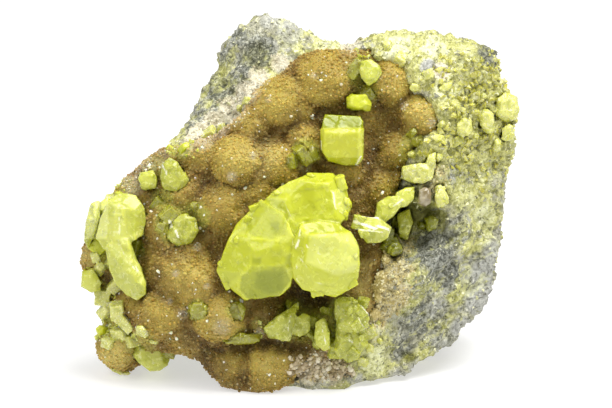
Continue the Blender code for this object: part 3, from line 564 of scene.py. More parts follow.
def grow(name, host, grains, material, spacing, sizes, tilt, keep, seed):
    """One mesh of the grains, strewn over the host where its keep attribute allows."""
    shapes = bpy.data.collections.new(name + "_shapes")
    for grain in grains:
        scene.collection.objects.unlink(grain)
        shapes.objects.link(grain)
        grain.data.materials.clear()
        grain.data.materials.append(material)
    tree = bpy.data.node_groups.new(name, "GeometryNodeTree")
    tree.interface.new_socket("Geometry", in_out="OUTPUT", socket_type="NodeSocketGeometry")

    def add(*node):
        return add_node(tree, *node)

    ground = add("GeometryNodeObjectInfo", {}, {"Object": host})["Geometry"]
    allowed = add(
        "GeometryNodeInputNamedAttribute", {"data_type": "FLOAT"}, {"Name": keep}
    )["Attribute"]
    spots = add(
        "GeometryNodeDistributePointsOnFaces",
        {"distribute_method": "POISSON"},
        {"Mesh": ground, "Distance Min": spacing, "Density Max": 2 / spacing**2,
         "Density Factor": allowed, "Seed": seed},
    )
    lean = add(
        "FunctionNodeRandomValue", {"data_type": "FLOAT_VECTOR"},
        {0: (-tilt, -tilt, 0), 1: (tilt, tilt, math.tau), "Seed": seed + 1},
    )[0]
    turned = add(
        "FunctionNodeRotateRotation", {"rotation_space": "LOCAL"},
        {"Rotation": spots["Rotation"],
         "Rotate By": add("FunctionNodeEulerToRotation", {}, {0: lean})[0]},
    )[0]
    size = add(
        "FunctionNodeRandomValue", {"data_type": "FLOAT"},
        {2: sizes[0], 3: sizes[1], "Seed": seed + 2},
    )[1]
    placed = add(
        "GeometryNodeInstanceOnPoints", {},
        {"Points": spots["Points"],
         "Instance": add(
             "GeometryNodeCollectionInfo", {},
             {"Collection": shapes, "Separate Children": True, "Reset Children": True},
         )[0],
         "Pick Instance": True, "Rotation": turned, "Scale": size},
    )[0]
    tint = add("FunctionNodeRandomValue", {"data_type": "FLOAT"}, {"Seed": seed + 3})[1]
    tinted = add(
        "GeometryNodeStoreNamedAttribute", {"data_type": "FLOAT", "domain": "INSTANCE"},
        {"Geometry": placed, "Name": "tint", "Value": tint},
    )[0]
    joined = add("GeometryNodeRealizeInstances", {}, {"Geometry": tinted})[0]
    add("NodeGroupOutput", {}, {"Geometry": joined})
    piece = new_piece(name, bmesh.new())
    piece.modifiers.new("grow", "NODES").node_group = tree
    settle(piece)
    for grain in grains:
        bpy.data.objects.remove(grain)
    bpy.data.collections.remove(shapes)
    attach(piece, "root")


grow(
    "aragonite_points", crust,
    [pointed_crystal("point_%d" % sides, 0.3 * MM, 0.36 * MM, sides) for sides in (3, 4)],
    aragonite("aragonite_points", tinted=True),
    spacing=0.42 * MM, sizes=(0.6, 1.3), tilt=0.5, keep="bare", seed=3,
)


def blocky_crystal(name, radius, height, sides):
    """A stout prism with a pointed end."""
    bm = bmesh.new()
    add_prism(bm, sides, radius * 0.8, radius, height)
    tip = max(bm.faces, key=lambda face: face.calc_center_median().z)
    bmesh.ops.inset_individual(bm, faces=[tip], thickness=radius * 0.6, depth=height * 0.3)
    return new_piece(name, bm)


grow(
    "aragonite_blocks", crust,
    [blocky_crystal("block_%d" % sides, 0.3 * MM, 0.55 * MM, sides) for sides in (4, 5)],
    aragonite("aragonite_blocks", tinted=True),
    spacing=0.8 * MM, sizes=(0.5, 1.3), tilt=1.2, keep="bare", seed=7,
)

# ---- the sulfur crystals
# Lemon-yellow crystals with flat, slightly stepped faces, glassy on the skin and milky inside.
# They sit in the crust and the rock by their roots.

PALEST = (0.86, 0.88, 0.4)
DEEPEST = (0.27, 0.31, 0)
CRYSTAL_SKIN = 0.2 * MM
SUNK = 0.7  # how much deeper the half-buried crystals sit, in millimetres


def sulfur_finish(name, body, shade, pale, cloud=3.0, clear=0.15, glint_flecked=0.0):
    """Milky yellow glass. The body colour clouds into the shade and the pale colour."""
    finish = Finish(
        name, IOR=1.7, Subsurface_Weight=0.8, Transmission_Weight=clear,
        Specular_IOR_Level=0.15 + clear * 0.8,
    )
    finish.shader.inputs["Subsurface Radius"].default_value = (1.0, 0.95, 0.12)
    finish.shader.inputs["Subsurface Scale"].default_value = cloud * 0.5 * MM
    clouds = finish.grain(cloud * MM, 3, 0.5, 0.8)
    veils = finish.grain(cloud * 0.35 * MM, 4, 0.6, 0.5)
    finish.colour = body
    finish.lay(clouds.between(0.42, 0.7), shade)
    finish.lay(veils.between(0.52, 0.75) * 0.6, pale)
    # painted light and shade: facets paler or deeper by the painted tones, partly colour
    tone = finish.painted("tone")
    finish.lay(tone.between(0, 1), PALEST)
    finish.lay((tone * -1).between(0, 1), DEEPEST)
    # painted glints: white flecks and streaks in place of light glinting off the faces
    glint_flecks = finish.grain(0.5 * MM, 2, 0.6, 1.0).between(0.62, 0.7) * glint_flecked
    streaks = (finish.painted("streak") + veils * 0.6).between(0.6, 1.0)
    finish.lay(glint_flecks + streaks, (0.93, 0.94, 0.68))
    steps = finish.add(
        "ShaderNodeTexWave", {"wave_type": "BANDS", "bands_direction": "DIAGONAL"},
        {"Vector": finish.place, "Scale": 0.9 / (2 * MM), "Distortion": 6.0, "Detail": 3.0,
         "Detail Scale": 2.0},
        "Fac",
    )
    relief = finish.bump(steps * 0.4 + veils, 0.12 * MM, 0.1 + clear)
    finish.feed(
        Base_Color=finish.colour, Roughness=0.14 + veils.between(0.4, 0.8) * 0.35, Normal=relief
    )
    return finish.material


LEMON = (0.61, 0.645, 0.045)
OLIVE = (0.52, 0.55, 0.022)
STRAW = (0.78, 0.8, 0.2)
sulfurs = {
    kind: sulfur_finish(kind + "_sulfur", *look)
    for kind, *look in (
        ("lemon", LEMON, OLIVE, STRAW),
        ("block", (0.57, 0.58, 0.05), OLIVE, STRAW),
        ("pale", (0.64, 0.66, 0.13), (0.52, 0.55, 0.07), (0.88, 0.88, 0.52), 1.8, 0.15, 0.12),
        ("deep", (0.55, 0.57, 0.09), (0.38, 0.4, 0.04), (0.82, 0.83, 0.42), 1.1, 0.2, 0.15),
        ("sunk", (0.42, 0.42, 0.05), (0.29, 0.26, 0.02), (0.62, 0.6, 0.26), 1.3, 0.25, 0.15),
        ("clear", (0.76, 0.76, 0.26), (0.6, 0.61, 0.13), (0.94, 0.93, 0.7), 1.0, 0.2, 0.5),
        # the vug's crystals: darker olive, partly their own colour and partly painted shade of the
        # hollow
        ("vug", (0.42, 0.44, 0.04), (0.24, 0.25, 0.015), (0.58, 0.6, 0.22), 1.2, 0.35, 0.1),
    )
}

LIGHT_AND_SHADE_TONES = [  # painted light and shade on the facets, partly colour: how much paler or deeper, then the outline's corners, x and h, clockwise
    (-0.5, [(-9.6, 25.4), (-3.2, 25.8), (-1.8, 22.8), (-4, 19.8), (-6.4, 19), (-10, 18.8),
        (-12, 20.8), (-11.6, 23.6)]),
    (-0.25, [(-8.5, 24.5), (-3.4, 24.6), (-3.2, 21), (-6, 20), (-9, 21.5)]),
    (-0.26, [(-17, 24.8), (-15.2, 28.8), (-12.8, 32.2), (-10.2, 34.4), (-9.8, 30.8), (-10, 26.4),
        (-12, 23.8), (-14.4, 22)]),
    (-0.24, [(-9.8, 30.8), (-4, 30.4), (-3.4, 27.6), (-4, 26), (-7.6, 25.6), (-9.8, 26.4)]),
    (-0.3, [(-9.4, 27.2), (-7.6, 27.2), (-8, 25.8), (-9.6, 25.4)]),
    (-0.4, [(-7.6, 39.2), (-3.4, 38.8), (-2.2, 35.6), (-3, 31.8), (-6, 31), (-9.8, 31.6),
        (-10.8, 34.4), (-9, 37.2)]),
    (-0.25, [(-5.8, 34.4), (-4.2, 34.4), (-3.8, 32.4), (-5.6, 32)]),
    (-0.3, [(-3.2, 27.6), (-1.8, 28), (-1.6, 25.2), (-3, 25.6)]),
    (0.15, [(-4.2, 41.4), (0, 43), (6, 44.2), (7, 43.2), (0, 41.4), (-3.2, 39.8)]),
    (-0.18, [(-2.6, 40.4), (6, 41.6), (6.6, 36), (-1, 35)]),
    (0.35, [(6.2, 40.4), (8.6, 40.8), (10.2, 37.2), (8.2, 36.2), (7, 37.2)]),
    (0.3, [(7.4, 43.6), (9, 42.6), (9, 40.8), (7.8, 40.8)]),
    (-0.3, [(0.6, 34.8), (8.6, 34.8), (9.6, 32.6), (2, 32)]),
    (0.42, [(2, 32), (10, 32.4), (11.6, 29.8), (11.6, 24.8), (7, 23.8), (1, 26.4)]),
    (0.12, [(0, 24), (11, 24), (6.8, 19.6), (0.4, 21.2)]),
    (-0.78, [(3.8, 57), (12.6, 56.8), (12.6, 53.2), (3.8, 53.2)]),
    (0.25, [(11.4, 53), (12.6, 53), (12.6, 45.4), (11.4, 45.8)]),
    (0.5, [(-42.6, 39.6), (-38.2, 39.6), (-38.6, 31), (-43, 31)]),
    (0.2, [(-38.4, 38), (-35.4, 38.4), (-34.6, 32), (-36, 25), (-39, 30)]),
    (-0.2, [(-35, 37.4), (-31.2, 36), (-31.2, 32.4), (-35, 31.6)]),
    (-0.55, [(-34, 31), (-31.4, 30), (-31.4, 26), (-33.2, 27)]),
    (-0.28, [(-37.4, 24.6), (-32, 23.4), (-31.2, 20), (-34, 18.8), (-36.6, 20.4)]),
]
GLINT_STREAKS = [  # painted glints: from x, h to x, h, then the width and the strength
    (0, 33, -0.2, 31.6, 0.2, 0.8), (-0.2, 30.8, -0.8, 29.4, 0.3, 0.9),
    (-1.6, 31.4, -1.4, 30, 0.2, 0.5), (1.2, 30, 1.6, 29.4, 0.2, 0.7),
    (1.8, 28.2, 2.4, 28.6, 0.2, 0.9), (-0.8, 26.8, -0.6, 25.2, 0.2, 0.6),
    (0.4, 29, 0.6, 28.2, 0.2, 0.7), (2.6, 30.2, 3.2, 29.6, 0.2, 0.6),
    (0.2, 27.2, 0.6, 26.4, 0.2, 0.6), (3.4, 28.6, 4, 28, 0.2, 0.6), (1, 26, 1.4, 25.4, 0.2, 0.5),
    (1, 33.8, 2.4, 34.2, 0.2, 0.5), (6.6, 40.4, 7, 37.2, 0.25, 0.7),
    (7, 37.2, 8.4, 36.2, 0.25, 0.6), (-4.2, 41.4, 0, 43, 0.2, 0.4),
    (-7.4, 39.2, -3.4, 38.8, 0.2, 0.5), (-3.4, 38.8, -1.8, 35.6, 0.2, 0.5),
    (3.4, 27.4, 4, 26.2, 0.25, 0.6), (5.4, 25.8, 6.4, 26.4, 0.25, 0.5),
    (2.6, 22.6, 4.2, 22.2, 0.3, 0.5), (-1, 23.6, 0.4, 21.6, 0.25, 0.5),
    (10.6, 34.6, 15.2, 33, 0.35, 1), (12.4, 35.7, 15.6, 35.2, 0.25, 1),
    (11, 33, 16.4, 32.4, 0.2, 1), (15.6, 33.6, 17.6, 33, 0.3, 1), (-36.2, 37.2, -36, 32, 0.3, 0.6),
    (-33.2, 25.4, -32.4, 24.8, 0.3, 1), (-36.4, 31, -34.4, 26.4, 0.25, 0.5),
    (4.4, 13, 5.2, 10, 0.22, 0.8), (12.2, 17.8, 13.8, 15.8, 0.2, 0.7),
    (11.6, 15.4, 12.6, 13.6, 0.25, 0.6), (13, 13.2, 12.4, 10.6, 0.2, 0.5),
    (9.6, 11, 10.4, 10.4, 0.3, 0.6), (-0.4, 18.6, -0.4, 15.4, 0.2, 0.5),
    (-1.8, 15.8, -2.4, 12.6, 0.2, 0.6), (-26, 34.6, -25.6, 33.4, 0.4, 1),
    (-24.8, 32.6, -24.2, 31.4, 0.3, 1), (-27.6, 46, -26.6, 44, 0.3, 0.7),
    (18, 46.4, 19.4, 44.6, 0.4, 0.9), (20.4, 47.4, 21.6, 46, 0.4, 0.8),
    (18.6, 37.6, 20.4, 38.8, 0.3, 0.6), (4.2, 50.6, 4.2, 46.6, 0.25, 0.6),
    (12.2, 47.6, 11, 45.4, 0.25, 0.8),
]


def inside(corners, x, h):
    """How far inside the outline a place is, in millimetres, or any depth below -1 outside it."""
    depth = 1
    x1, h1 = corners[-1]
    for x2, h2 in corners:
        side = (x - x1) * (h2 - h1) - (h - h1) * (x2 - x1)
        depth = min(depth, side / math.hypot(x2 - x1, h2 - h1))
        if depth < -1:
            break
        x1, h1 = x2, h2
    return depth


def toned(point, _normal):
    """How much paler or deeper the crystal is here by painted light and shade, with soft borders
    between the tones.
    """
    x, h = face_place(point)
    total = 0.0
    for tone, corners in LIGHT_AND_SHADE_TONES:
        total += tone * held(inside(corners, x, h) / 0.5 + 0.5)
    return total


def glint_streaked(point, _normal):
    """How close the point is to one of the painted glint streaks, from 0 to its strength."""
    place = Vector(face_place(point))
    most = 0.0
    for x1, h1, x2, h2, width, strength in GLINT_STREAKS:
        if abs(place.x - x1) + abs(place.y - h1) > 8:
            continue
        start = Vector((x1, h1))
        way = Vector((x2, h2)) - start
        along = held((place - start).dot(way) / way.length_squared)
        away = (place - start - way * along).length
        most = max(most, strength * held(1.6 - away / width / 0.7))
    return most


def dress(piece, material):
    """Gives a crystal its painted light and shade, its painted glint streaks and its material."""
    paint(piece, "tone", toned)
    paint(piece, "streak", glint_streaked)
    piece.data.materials.append(material)
    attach(piece, "root")


def cut_crystal(node, name, edge, ripple, material):
    """The crystal's solid with worn edges and faint growth relief on its faces.

    Where a face is toned paler it stands a little proud, and where it is deeper it is sunk.
    """
    piece = copy_of(node, name)
    bm = bmesh.new()
    bm.from_mesh(piece.data)
    bmesh.ops.dissolve_limit(bm, angle_limit=math.radians(2), verts=bm.verts, edges=bm.edges)
    sharp = [e for e in bm.edges if e.is_manifold and e.calc_face_angle() > math.radians(12)]
    bmesh.ops.bevel(
        bm, geom=sharp, offset=edge, offset_type="OFFSET", affect="EDGES", segments=2,
        profile=0.5, material=-1, clamp_overlap=True,
    )
    if material is sulfurs["sunk"]:
        bmesh.ops.translate(bm, verts=bm.verts, vec=FACE_OUT * -SUNK * MM)
    bm.to_mesh(piece.data)
    bm.free()
    reskin(piece, CRYSTAL_SKIN)

    def stepped(point, _normal):
        steps = min(0.3, max(-0.35, toned(point, None))) * 0.6 * MM
        return steps + facets(point, 2.4 * MM, ripple) + facets(point, 1.0 * MM, ripple * 0.6)

    move_out(piece, stepped)
    thin_out(piece, 0.3 if ripple < 0.15 else 0.4)
    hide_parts(node)
    dress(piece, material)


for node, edge, ripple, kind in (
    ("main_crystal_cluster", 0.22, 0.1, "lemon"),
    ("block_crystal", 0.18, 0.08, "block"),
    ("left_blade_crystals", 0.25, 0.12, "pale"),
    ("ledge_crystals", 0.15, 0.15, "pale"),
    ("top_rounded_crystal", 0.15, 0.25, "pale"),
    ("top_flat_crystal", 0.15, 0.25, "lemon"),
    ("shoulder_long_crystal", 0.2, 0.2, "deep"),
    ("shoulder_short_crystal", 0.2, 0.25, "pale"),
    ("left_edge_upper_crystal", 0.15, 0.2, "deep"),
    ("left_edge_lower_crystal", 0.15, 0.2, "pale"),
    ("foot_crystal", 0.2, 0.2, "pale"),
    ("embedded_large_crystal", 0.15, 0.3, "sunk"),
    ("embedded_small_crystal", 0.15, 0.3, "sunk"),
    ("left_hollow_crystal", 0.2, 0.3, "deep"),
    ("ridged_crystals", 0.15, 0.25, "clear"),
    ("ledge_corner_crystal", 0.15, 0.3, "clear"),
    ("vug_tall_crystal", 0.15, 0.2, "deep"),
    ("vug_low_crystal", 0.2, 0.3, "vug"),
    ("vug_right_crystal", 0.2, 0.3, "vug"),
    ("lower_fin_crystals", 0.15, 0.25, "deep"),
    ("lower_rod_crystal", 0.15, 0.3, "pale"),
    ("ledge_green_crystal", 0.2, 0.4, "sunk"),
    ("lower_mass_crystals", 0.2, 0.35, "deep"),
    ("rim_outer_crystal", 0.25, 0.4, "clear"),
    ("rim_bright_crystal", 0.2, 0.4, "clear"),
    ("rim_inner_crystal", 0.2, 0.4, "clear"),
    ("rim_low_crystal", 0.2, 0.4, "clear"),
):
    cut_crystal(node, node.replace("crystal", "sulfur"), edge * MM, ripple, sulfurs[kind])

# ---- the low sulfur
# Low plates and blocks of sulfur that grew into each other and into the crust or the rock.
# They close the gaps round the larger crystals and run along the edges of the crust.


def intergrown(name, host, blocks, material, lean=1.2):
    """A mass of blocks half sunk in the host, each x, h, width, height and how far it stands out.

    Every block is tipped and turned its own way, by up to half the lean each way.
    """
    tree = BVHTree.FromObject(host, bpy.context.evaluated_depsgraph_get())
    bm = bmesh.new()
    for x, h, width, height, rise in blocks:
        root, normal, _, _ = tree.ray_cast(on_face(x, h, 60), -FACE_OUT)
        if root is None:
            root, normal, _, _ = tree.find_nearest(on_face(x, h, 0))
        chance = noise.cell_vector(Vector((x, h, width)) * 3.7) - Vector((0.5, 0.5, 0.5))
        way = (normal + FACE_OUT * 2).normalized()
        stand = way.to_track_quat("Z", "Y").to_matrix().to_4x4()
        tip = Matrix.Rotation(chance.x * lean, 4, "X") @ Matrix.Rotation(chance.y * lean, 4, "Y")
        turn = Matrix.Rotation(chance.z * 1.6, 4, "Z")
        size = Matrix.Diagonal((width * MM, height * MM, (width + height) * 0.5 * MM, 1))
        place = Matrix.Translation(root + way * rise * MM) @ stand @ tip @ turn @ size
        if chance.x > 0:
            bmesh.ops.create_cube(bm, size=0.9, matrix=place)
        else:
            add_prism(bm, 5, 0.56, 0.3, 1, matrix=place)
    mass = new_piece(name, bm)
    reskin(mass, CRYSTAL_SKIN)

    move_out(mass, lambda point, _: facets(point, 1.6 * MM, 0.25) + facets(point, 0.8 * MM, 0.18))
    thin_out(mass, 0.5)
    dress(mass, material)
    return mass


intergrown("cluster_plates", bpy.data.objects["main_sulfur_cluster"], [
    (8.2, 42.2, 2.2, 3.4, -0.5), (9.4, 38.4, 2.4, 3.4, -0.7), (9, 36, 2.2, 2.2, -0.8),
    (-10.2, 34.6, 2.2, 2.6, -0.9), (-9, 37, 2.4, 2.2, -0.9), (-12.8, 30.8, 2.2, 3, -0.9),
    (-15.6, 26, 2.4, 2.6, -1.1), (-14.4, 22, 2.2, 2.2, -1), (-4.6, 40.2, 2.8, 2, -0.9),
    (2.2, 43.6, 3.2, 1.8, -0.8), (10.2, 22.4, 2.4, 2.4, -1), (11, 27.4, 1.8, 3, -1),
    (3.4, 20.4, 2.6, 1.8, -0.8), (-9.2, 19.8, 2.4, 1.8, -0.9), (11, 31.6, 2, 2.2, -0.8),
], sulfurs["lemon"], lean=0.5)
intergrown("lower_mass_plates", bpy.data.objects["lower_mass_sulfurs"], [
    (9.6, 16.6, 2.2, 2.6, -0.4), (12.2, 16.4, 2, 2.4, -0.5), (11, 13.8, 2.4, 2, -0.4),
    (9.8, 11.4, 2.2, 2.6, -0.4), (12.2, 11.2, 2, 2.4, -0.5), (10.8, 8.6, 2.4, 2.2, -0.5),
    (13, 14, 1.6, 2.2, -0.5), (11.6, 6.8, 1.8, 1.8, -0.5), (10.6, 18.4, 2.2, 1.8, -0.6),
], sulfurs["deep"])
intergrown("ledge_root", bpy.data.objects["ledge_sulfurs"], [
    (11.6, 34.4, 2.6, 3, -0.8), (12.6, 32.4, 2.2, 2, -0.7), (18, 37.4, 1.8, 2.2, -0.6),
], sulfurs["pale"], lean=0.6)
intergrown("left_edge_lemon", crust, [
    (-40.2, 36.4, 3.4, 5.6, 0.6), (-40.8, 32.4, 2.8, 5, 0.4), (-40.6, 29.2, 2.6, 3.4, 0.3),
    (-42, 31.6, 1.6, 3, 0), (-39.6, 39, 2.2, 1.8, 0.3), (-39.6, 12.4, 3.2, 3, 0.2),
    (-24, 50, 2.8, 2.6, 0), (-26, 49, 1.6, 1.4, 0), (-40.4, 35.6, 2.4, 3.6, 0.4),
], sulfurs["lemon"])
intergrown("left_edge_pale", crust, [
    (-38.8, 34.6, 3, 5, 0.6), (-37.6, 29.8, 3.4, 6.6, 0.4), (-36.4, 36, 4, 4.6, 0.8),
    (-40.2, 25.2, 2.8, 3, 0.3), (-42, 22, 3, 3, 0.3), (-39.4, 19.4, 3.6, 3.4, 0.5),
    (-38.8, 16.6, 3.4, 3.2, 0.5), (-40.2, 14.8, 2.8, 3.2, 0.2), (-36, 12.2, 3.6, 2.4, 0.2),
    (-31.6, 12.8, 3.4, 2, 0.2), (-36.6, 4.4, 4.4, 1.4, 0), (-34.2, 25, 2.4, 3.6, 0.6),
    (-33, 33, 2.6, 5, 0.6), (-41, 27.4, 2, 2, 0.2), (-38.2, 26.6, 3, 3.4, 0.5),
    (-37, 21.8, 3.2, 2.6, 0.3), (-41, 17.8, 3, 3.6, 0.6), (-41.2, 14.6, 2.6, 2.6, 0.5),
    (-34.6, 14, 3.4, 2.4, 0.3), (-37.6, 38.6, 3, 2.6, 0.4), (-34.6, 39.4, 3, 2.2, 0.4),
    (-38.4, 10.2, 2.6, 2.2, 0.2), (-33.8, 10.4, 3.2, 2.6, 0.2), (-29.4, 10.6, 2.2, 1.6, 0.1),
], sulfurs["clear"])
intergrown("crust_olive", crust, [
    (-26.4, 35.8, 3.6, 2.8, -0.2), (-22, 35.2, 3.6, 2.8, -0.2), (-24.4, 31, 5.4, 2.8, -0.1),
    (-20.8, 37.4, 2.8, 2.2, -0.2), (-20.4, 16.8, 3, 2.4, 0.1), (-19, 15.8, 2, 2, 0),
    (-12.8, 16.8, 2.6, 3, 0), (-26.6, 8.2, 3.4, 2, 0), (11.2, 65, 2.6, 4.6, -0.1),
    (13.4, 60.2, 3, 2.6, -0.1), (0.4, 47.8, 2.2, 4.6, 0.2), (2.6, 48.6, 2, 3.6, 0.2),
    (24.2, 49.6, 3, 3.4, 0), (22.6, 52.4, 2.4, 2.2, 0), (-1.6, 46.6, 1.8, 3, 0.1),
    (-28.4, 38, 2.4, 3.4, 0), (-27.6, 33.4, 2, 2, 0), (-32.8, 29, 2.6, 5, 0.5),
], sulfurs["sunk"])
intergrown("lower_green", crust, [
    (-14, 11.2, 4.6, 1.1, 0.3), (-9.4, 11.4, 4.6, 1.1, 0.3), (-2.4, 17.4, 2, 3.6, 0.6),
    (0.4, 14, 3.2, 3.4, 0.5), (2.6, 14.6, 2.8, 2.8, 0.4), (5.4, 16.4, 3.2, 2.4, 0.4),
    (7, 12, 2.8, 2.8, 0.4), (5.6, 9.6, 2.8, 2.6, 0.3), (3.2, 10.4, 2.2, 3, 0.3),
    (10, 16.8, 4.6, 3.6, 0.6), (11.6, 13.4, 3.4, 3.6, 0.5), (9.6, 9.4, 4.2, 3.4, 0.4),
    (8, 6.6, 3, 2.2, 0.2), (12.6, 18.4, 2.2, 2.2, 0.4), (-6.4, 13, 2.2, 2.2, 0.4),
    (-3.6, 13.6, 2, 2.6, 0.4), (2, 12, 1.6, 2.8, 0.5), (7.6, 15, 1.8, 3.4, 0.6),
    (4.4, 12.6, 1.6, 3.2, 0.6), (12.8, 10.4, 2.2, 2.4, 0.3), (10.8, 6.8, 2.2, 1.8, 0.1),
], sulfurs["deep"])
intergrown("border_pale", rock, [
    (-19, 51.8, 5, 1.6, 0), (-15.8, 53.2, 2.2, 1.8, 0), (-10.4, 58.6, 2.6, 2.6, -0.1),
    (-12, 57.2, 2.2, 1.6, -0.1), (17.6, 69.4, 3, 3.4, -0.2), (20, 66.8, 2.6, 3, -0.2),
    (23, 61.4, 2.8, 2.6, -0.1), (25.6, 64, 2.2, 2, -0.1), (29, 61.4, 4.4, 2.6, -0.2),
    (38, 54.8, 3, 3.2, 0), (33, 54.2, 2.8, 3, -0.1), (36.6, 59.4, 2.6, 2.4, -0.2),
    (27.6, 51, 3, 2.4, -0.1), (30.6, 57.4, 2.2, 2.6, -0.1), (34.2, 47.6, 2.8, 2.4, -0.1),
    (13.6, 15.6, 2, 2.6, -0.2), (14.2, 12.4, 2.4, 2.4, -0.3), (14, 9.2, 2.2, 2.4, -0.3),
    (12.6, 6.4, 2.4, 2, -0.3), (15.6, 14, 1.6, 1.6, -0.3), (16, 10.4, 1.8, 1.6, -0.3),
    (39.6, 50, 2.2, 2.6, 0), (25.8, 54.8, 2, 3.2, 0), (27.8, 47.4, 2, 2.6, 0),
    (31.4, 50.6, 2.4, 2, -0.1), (22.4, 48, 2.4, 2, 0), (21.4, 44, 2, 2.6, 0.1),
    (24.6, 44.4, 1.8, 1.8, 0), (28.4, 54, 1.8, 1.8, -0.1), (35.4, 51.6, 2, 1.8, -0.1),
], sulfurs["clear"])
intergrown("vug_sulfur_mass", rock, [
    (17.4, 31.6, 2.6, 3.4, 1.2), (18.6, 30.2, 2.8, 3.2, 1.2), (19.8, 32.6, 2.4, 3.6, 0.9),
    (17.4, 29.6, 2.4, 2.4, 1), (18.8, 34.2, 2, 3, 0.8), (20.2, 29.4, 2.2, 2.2, 0.8),
    (24.4, 33.8, 2, 2.6, 0.5), (26.8, 34.6, 1.6, 2.4, 0.4),
], sulfurs["vug"])

# ---- the calcite tablet
# One small, clear brownish tablet that stands on the ledge over the dark hollow.


def calcite():
    """Pale brown and clear, with darker clouds inside."""
    finish = Finish("calcite", IOR=1.6, Transmission_Weight=0.45, Roughness=0.1)
    clouds = finish.grain(1.5 * MM, 3)
    colour = finish.mix(clouds.between(0.4, 0.65), (0.36, 0.28, 0.13), (0.6, 0.52, 0.34))
    finish.feed(Base_Color=colour)
    return finish.material


cut_crystal("calcite_tablet", "calcite_tablet_stone", 0.15 * MM, 0.15, calcite())

# ---- the sulfur grains
# Small glassy lumps of sulfur, half sunk in the stone of the right rim, and smaller chips
# along the left and lower edges of the crust.


def broken_grain(name, width, stretch, seed):
    """An angular crumb of about this width."""
    bm = bmesh.new()
    bmesh.ops.create_icosphere(bm, subdivisions=1, radius=width / 2)
    for vert in bm.verts:
        vert.co *= 0.75 + 0.5 * noise.cell(vert.co / width * 9 + Vector((seed * 5.3, 0, 0)))
    bmesh.ops.scale(bm, verts=bm.verts, vec=(1, stretch, 0.9))
    return new_piece(name, bm)


def crumbs(width):
    """Four crumbs of different lengths, for grow to choose from."""
    return [
        broken_grain("crumb_%d" % number, width, stretch, number)
        for number, stretch in enumerate((0.7, 1.0, 1.3, 0.85))
    ]


grain_sulfur = sulfur_finish(
    "grain_sulfur", (0.68, 0.66, 0.19), (0.46, 0.43, 0.08), (0.92, 0.92, 0.66), 1.2, 0.2, 0.4
)
grow(
    "sulfur_grains", rock, crumbs(1.9 * MM), grain_sulfur,
    spacing=1 * MM, sizes=(0.4, 1.1), tilt=0.9, keep="lumpy", seed=11,
)

CHIP_PATCHES = [  # along the edges of the crust
    (-41, 38, 3, 1), (-40.5, 33, 2.5, 1), (-41.5, 23.5, 2.5, 1), (-39, 19, 3, 0.8),
    (-39.5, 15, 3, 0.8), (-38, 12, 3, 0.7), (-35, 11.5, 2.5, 0.8), (-33, 11.5, 2, 0.7),
    (-6, 12.5, 3, 0.5), (-1, 15, 3, 0.7), (4, 12, 4, 0.7), (8, 10, 4, 0.7), (10, 15, 4, 0.8),
    (11, 8, 3, 0.8), (-24, 34, 4, 0.15), (-22, 49, 2, 0.3), (12, 68, 2.5, 0.3), (-36, 42, 3, 0.4),
    (-25, 50, 2.5, 0.5),
]
paint(crust, "chips", patchy(CHIP_PATCHES))
grow(
    "sulfur_chips", crust, crumbs(1.5 * MM), sulfurs["pale"],
    spacing=0.75 * MM, sizes=(0.35, 1.2), tilt=1.2, keep="chips", seed=21,
)

# ---- the stone grit
# Loose grains of grey stone and of stone soaked with sulfur, which stick to the broken faces
# of the rock on the side that shows.


def grit(name, dark_colour, middle, light):
    """Dull crumbs, each of its own shade from dark to light."""
    finish = Finish(name, Roughness=0.6, IOR=1.5)
    tint = finish.painted("tint")
    finish.colour = dark_colour
    finish.lay(tint.between(0.1, 0.5), middle)
    finish.lay(tint.between(0.5, 0.95), light)
    finish.feed(Base_Color=finish.colour)
    return finish.material


GRIT_SHARE = 0.75


def in_front(point, normal):
    return GRIT_SHARE if normal.dot(FACE_OUT) > -0.1 and point.z > 0.6 * MM else 0.0


paint(rock, "front", in_front)
grow(
    "stone_grit", rock, crumbs(0.75 * MM),
    grit("stone_grit", (0.26, 0.26, 0.2), (0.52, 0.52, 0.27), (0.8, 0.79, 0.5)),
    spacing=1.9 * MM, sizes=(0.5, 1.6), tilt=1.5, keep="front", seed=31,
)

# ---- the beige and ochre crystals
# Two patches of small dull aragonite crystals: a stout beige kind at the foot, over rock and
# crust alike, and a fine ochre kind on the ledge where the crust ends against the rock.

BEIGE_PATCHES = [  # at the foot
    (-0.4, 5.6, 2.6, 1), (2.4, 5.8, 3, 1), (5.4, 6.2, 3, 1), (8, 4.6, 3, 1), (9.4, 7.4, 2.2, 0.7),
    (1.4, 3.2, 2.8, 0.9), (4.8, 3.2, 3, 1),
]
CLEAR_OF_GROUND = 2 * MM
beige_finish = grit("beige_crystals", (0.36, 0.28, 0.16), (0.56, 0.47, 0.3), (0.8, 0.74, 0.58))
beige_share = patchy(BEIGE_PATCHES)


def beige_above_ground(point, normal):
    return beige_share(point, normal) if point.z > CLEAR_OF_GROUND else 0.0


for host, name, seed in ((rock, "beige_crystals_right", 35), (crust, "beige_crystals_left", 38)):
    paint(host, "beige", beige_above_ground)
    grow(
        name, host,
        [blocky_crystal("beige_%d" % sides, 0.42 * MM, 0.8 * MM, sides) for sides in (4, 5)],
        beige_finish,
        spacing=0.6 * MM, sizes=(0.5, 1.4), tilt=1.1, keep="beige", seed=seed,
    )

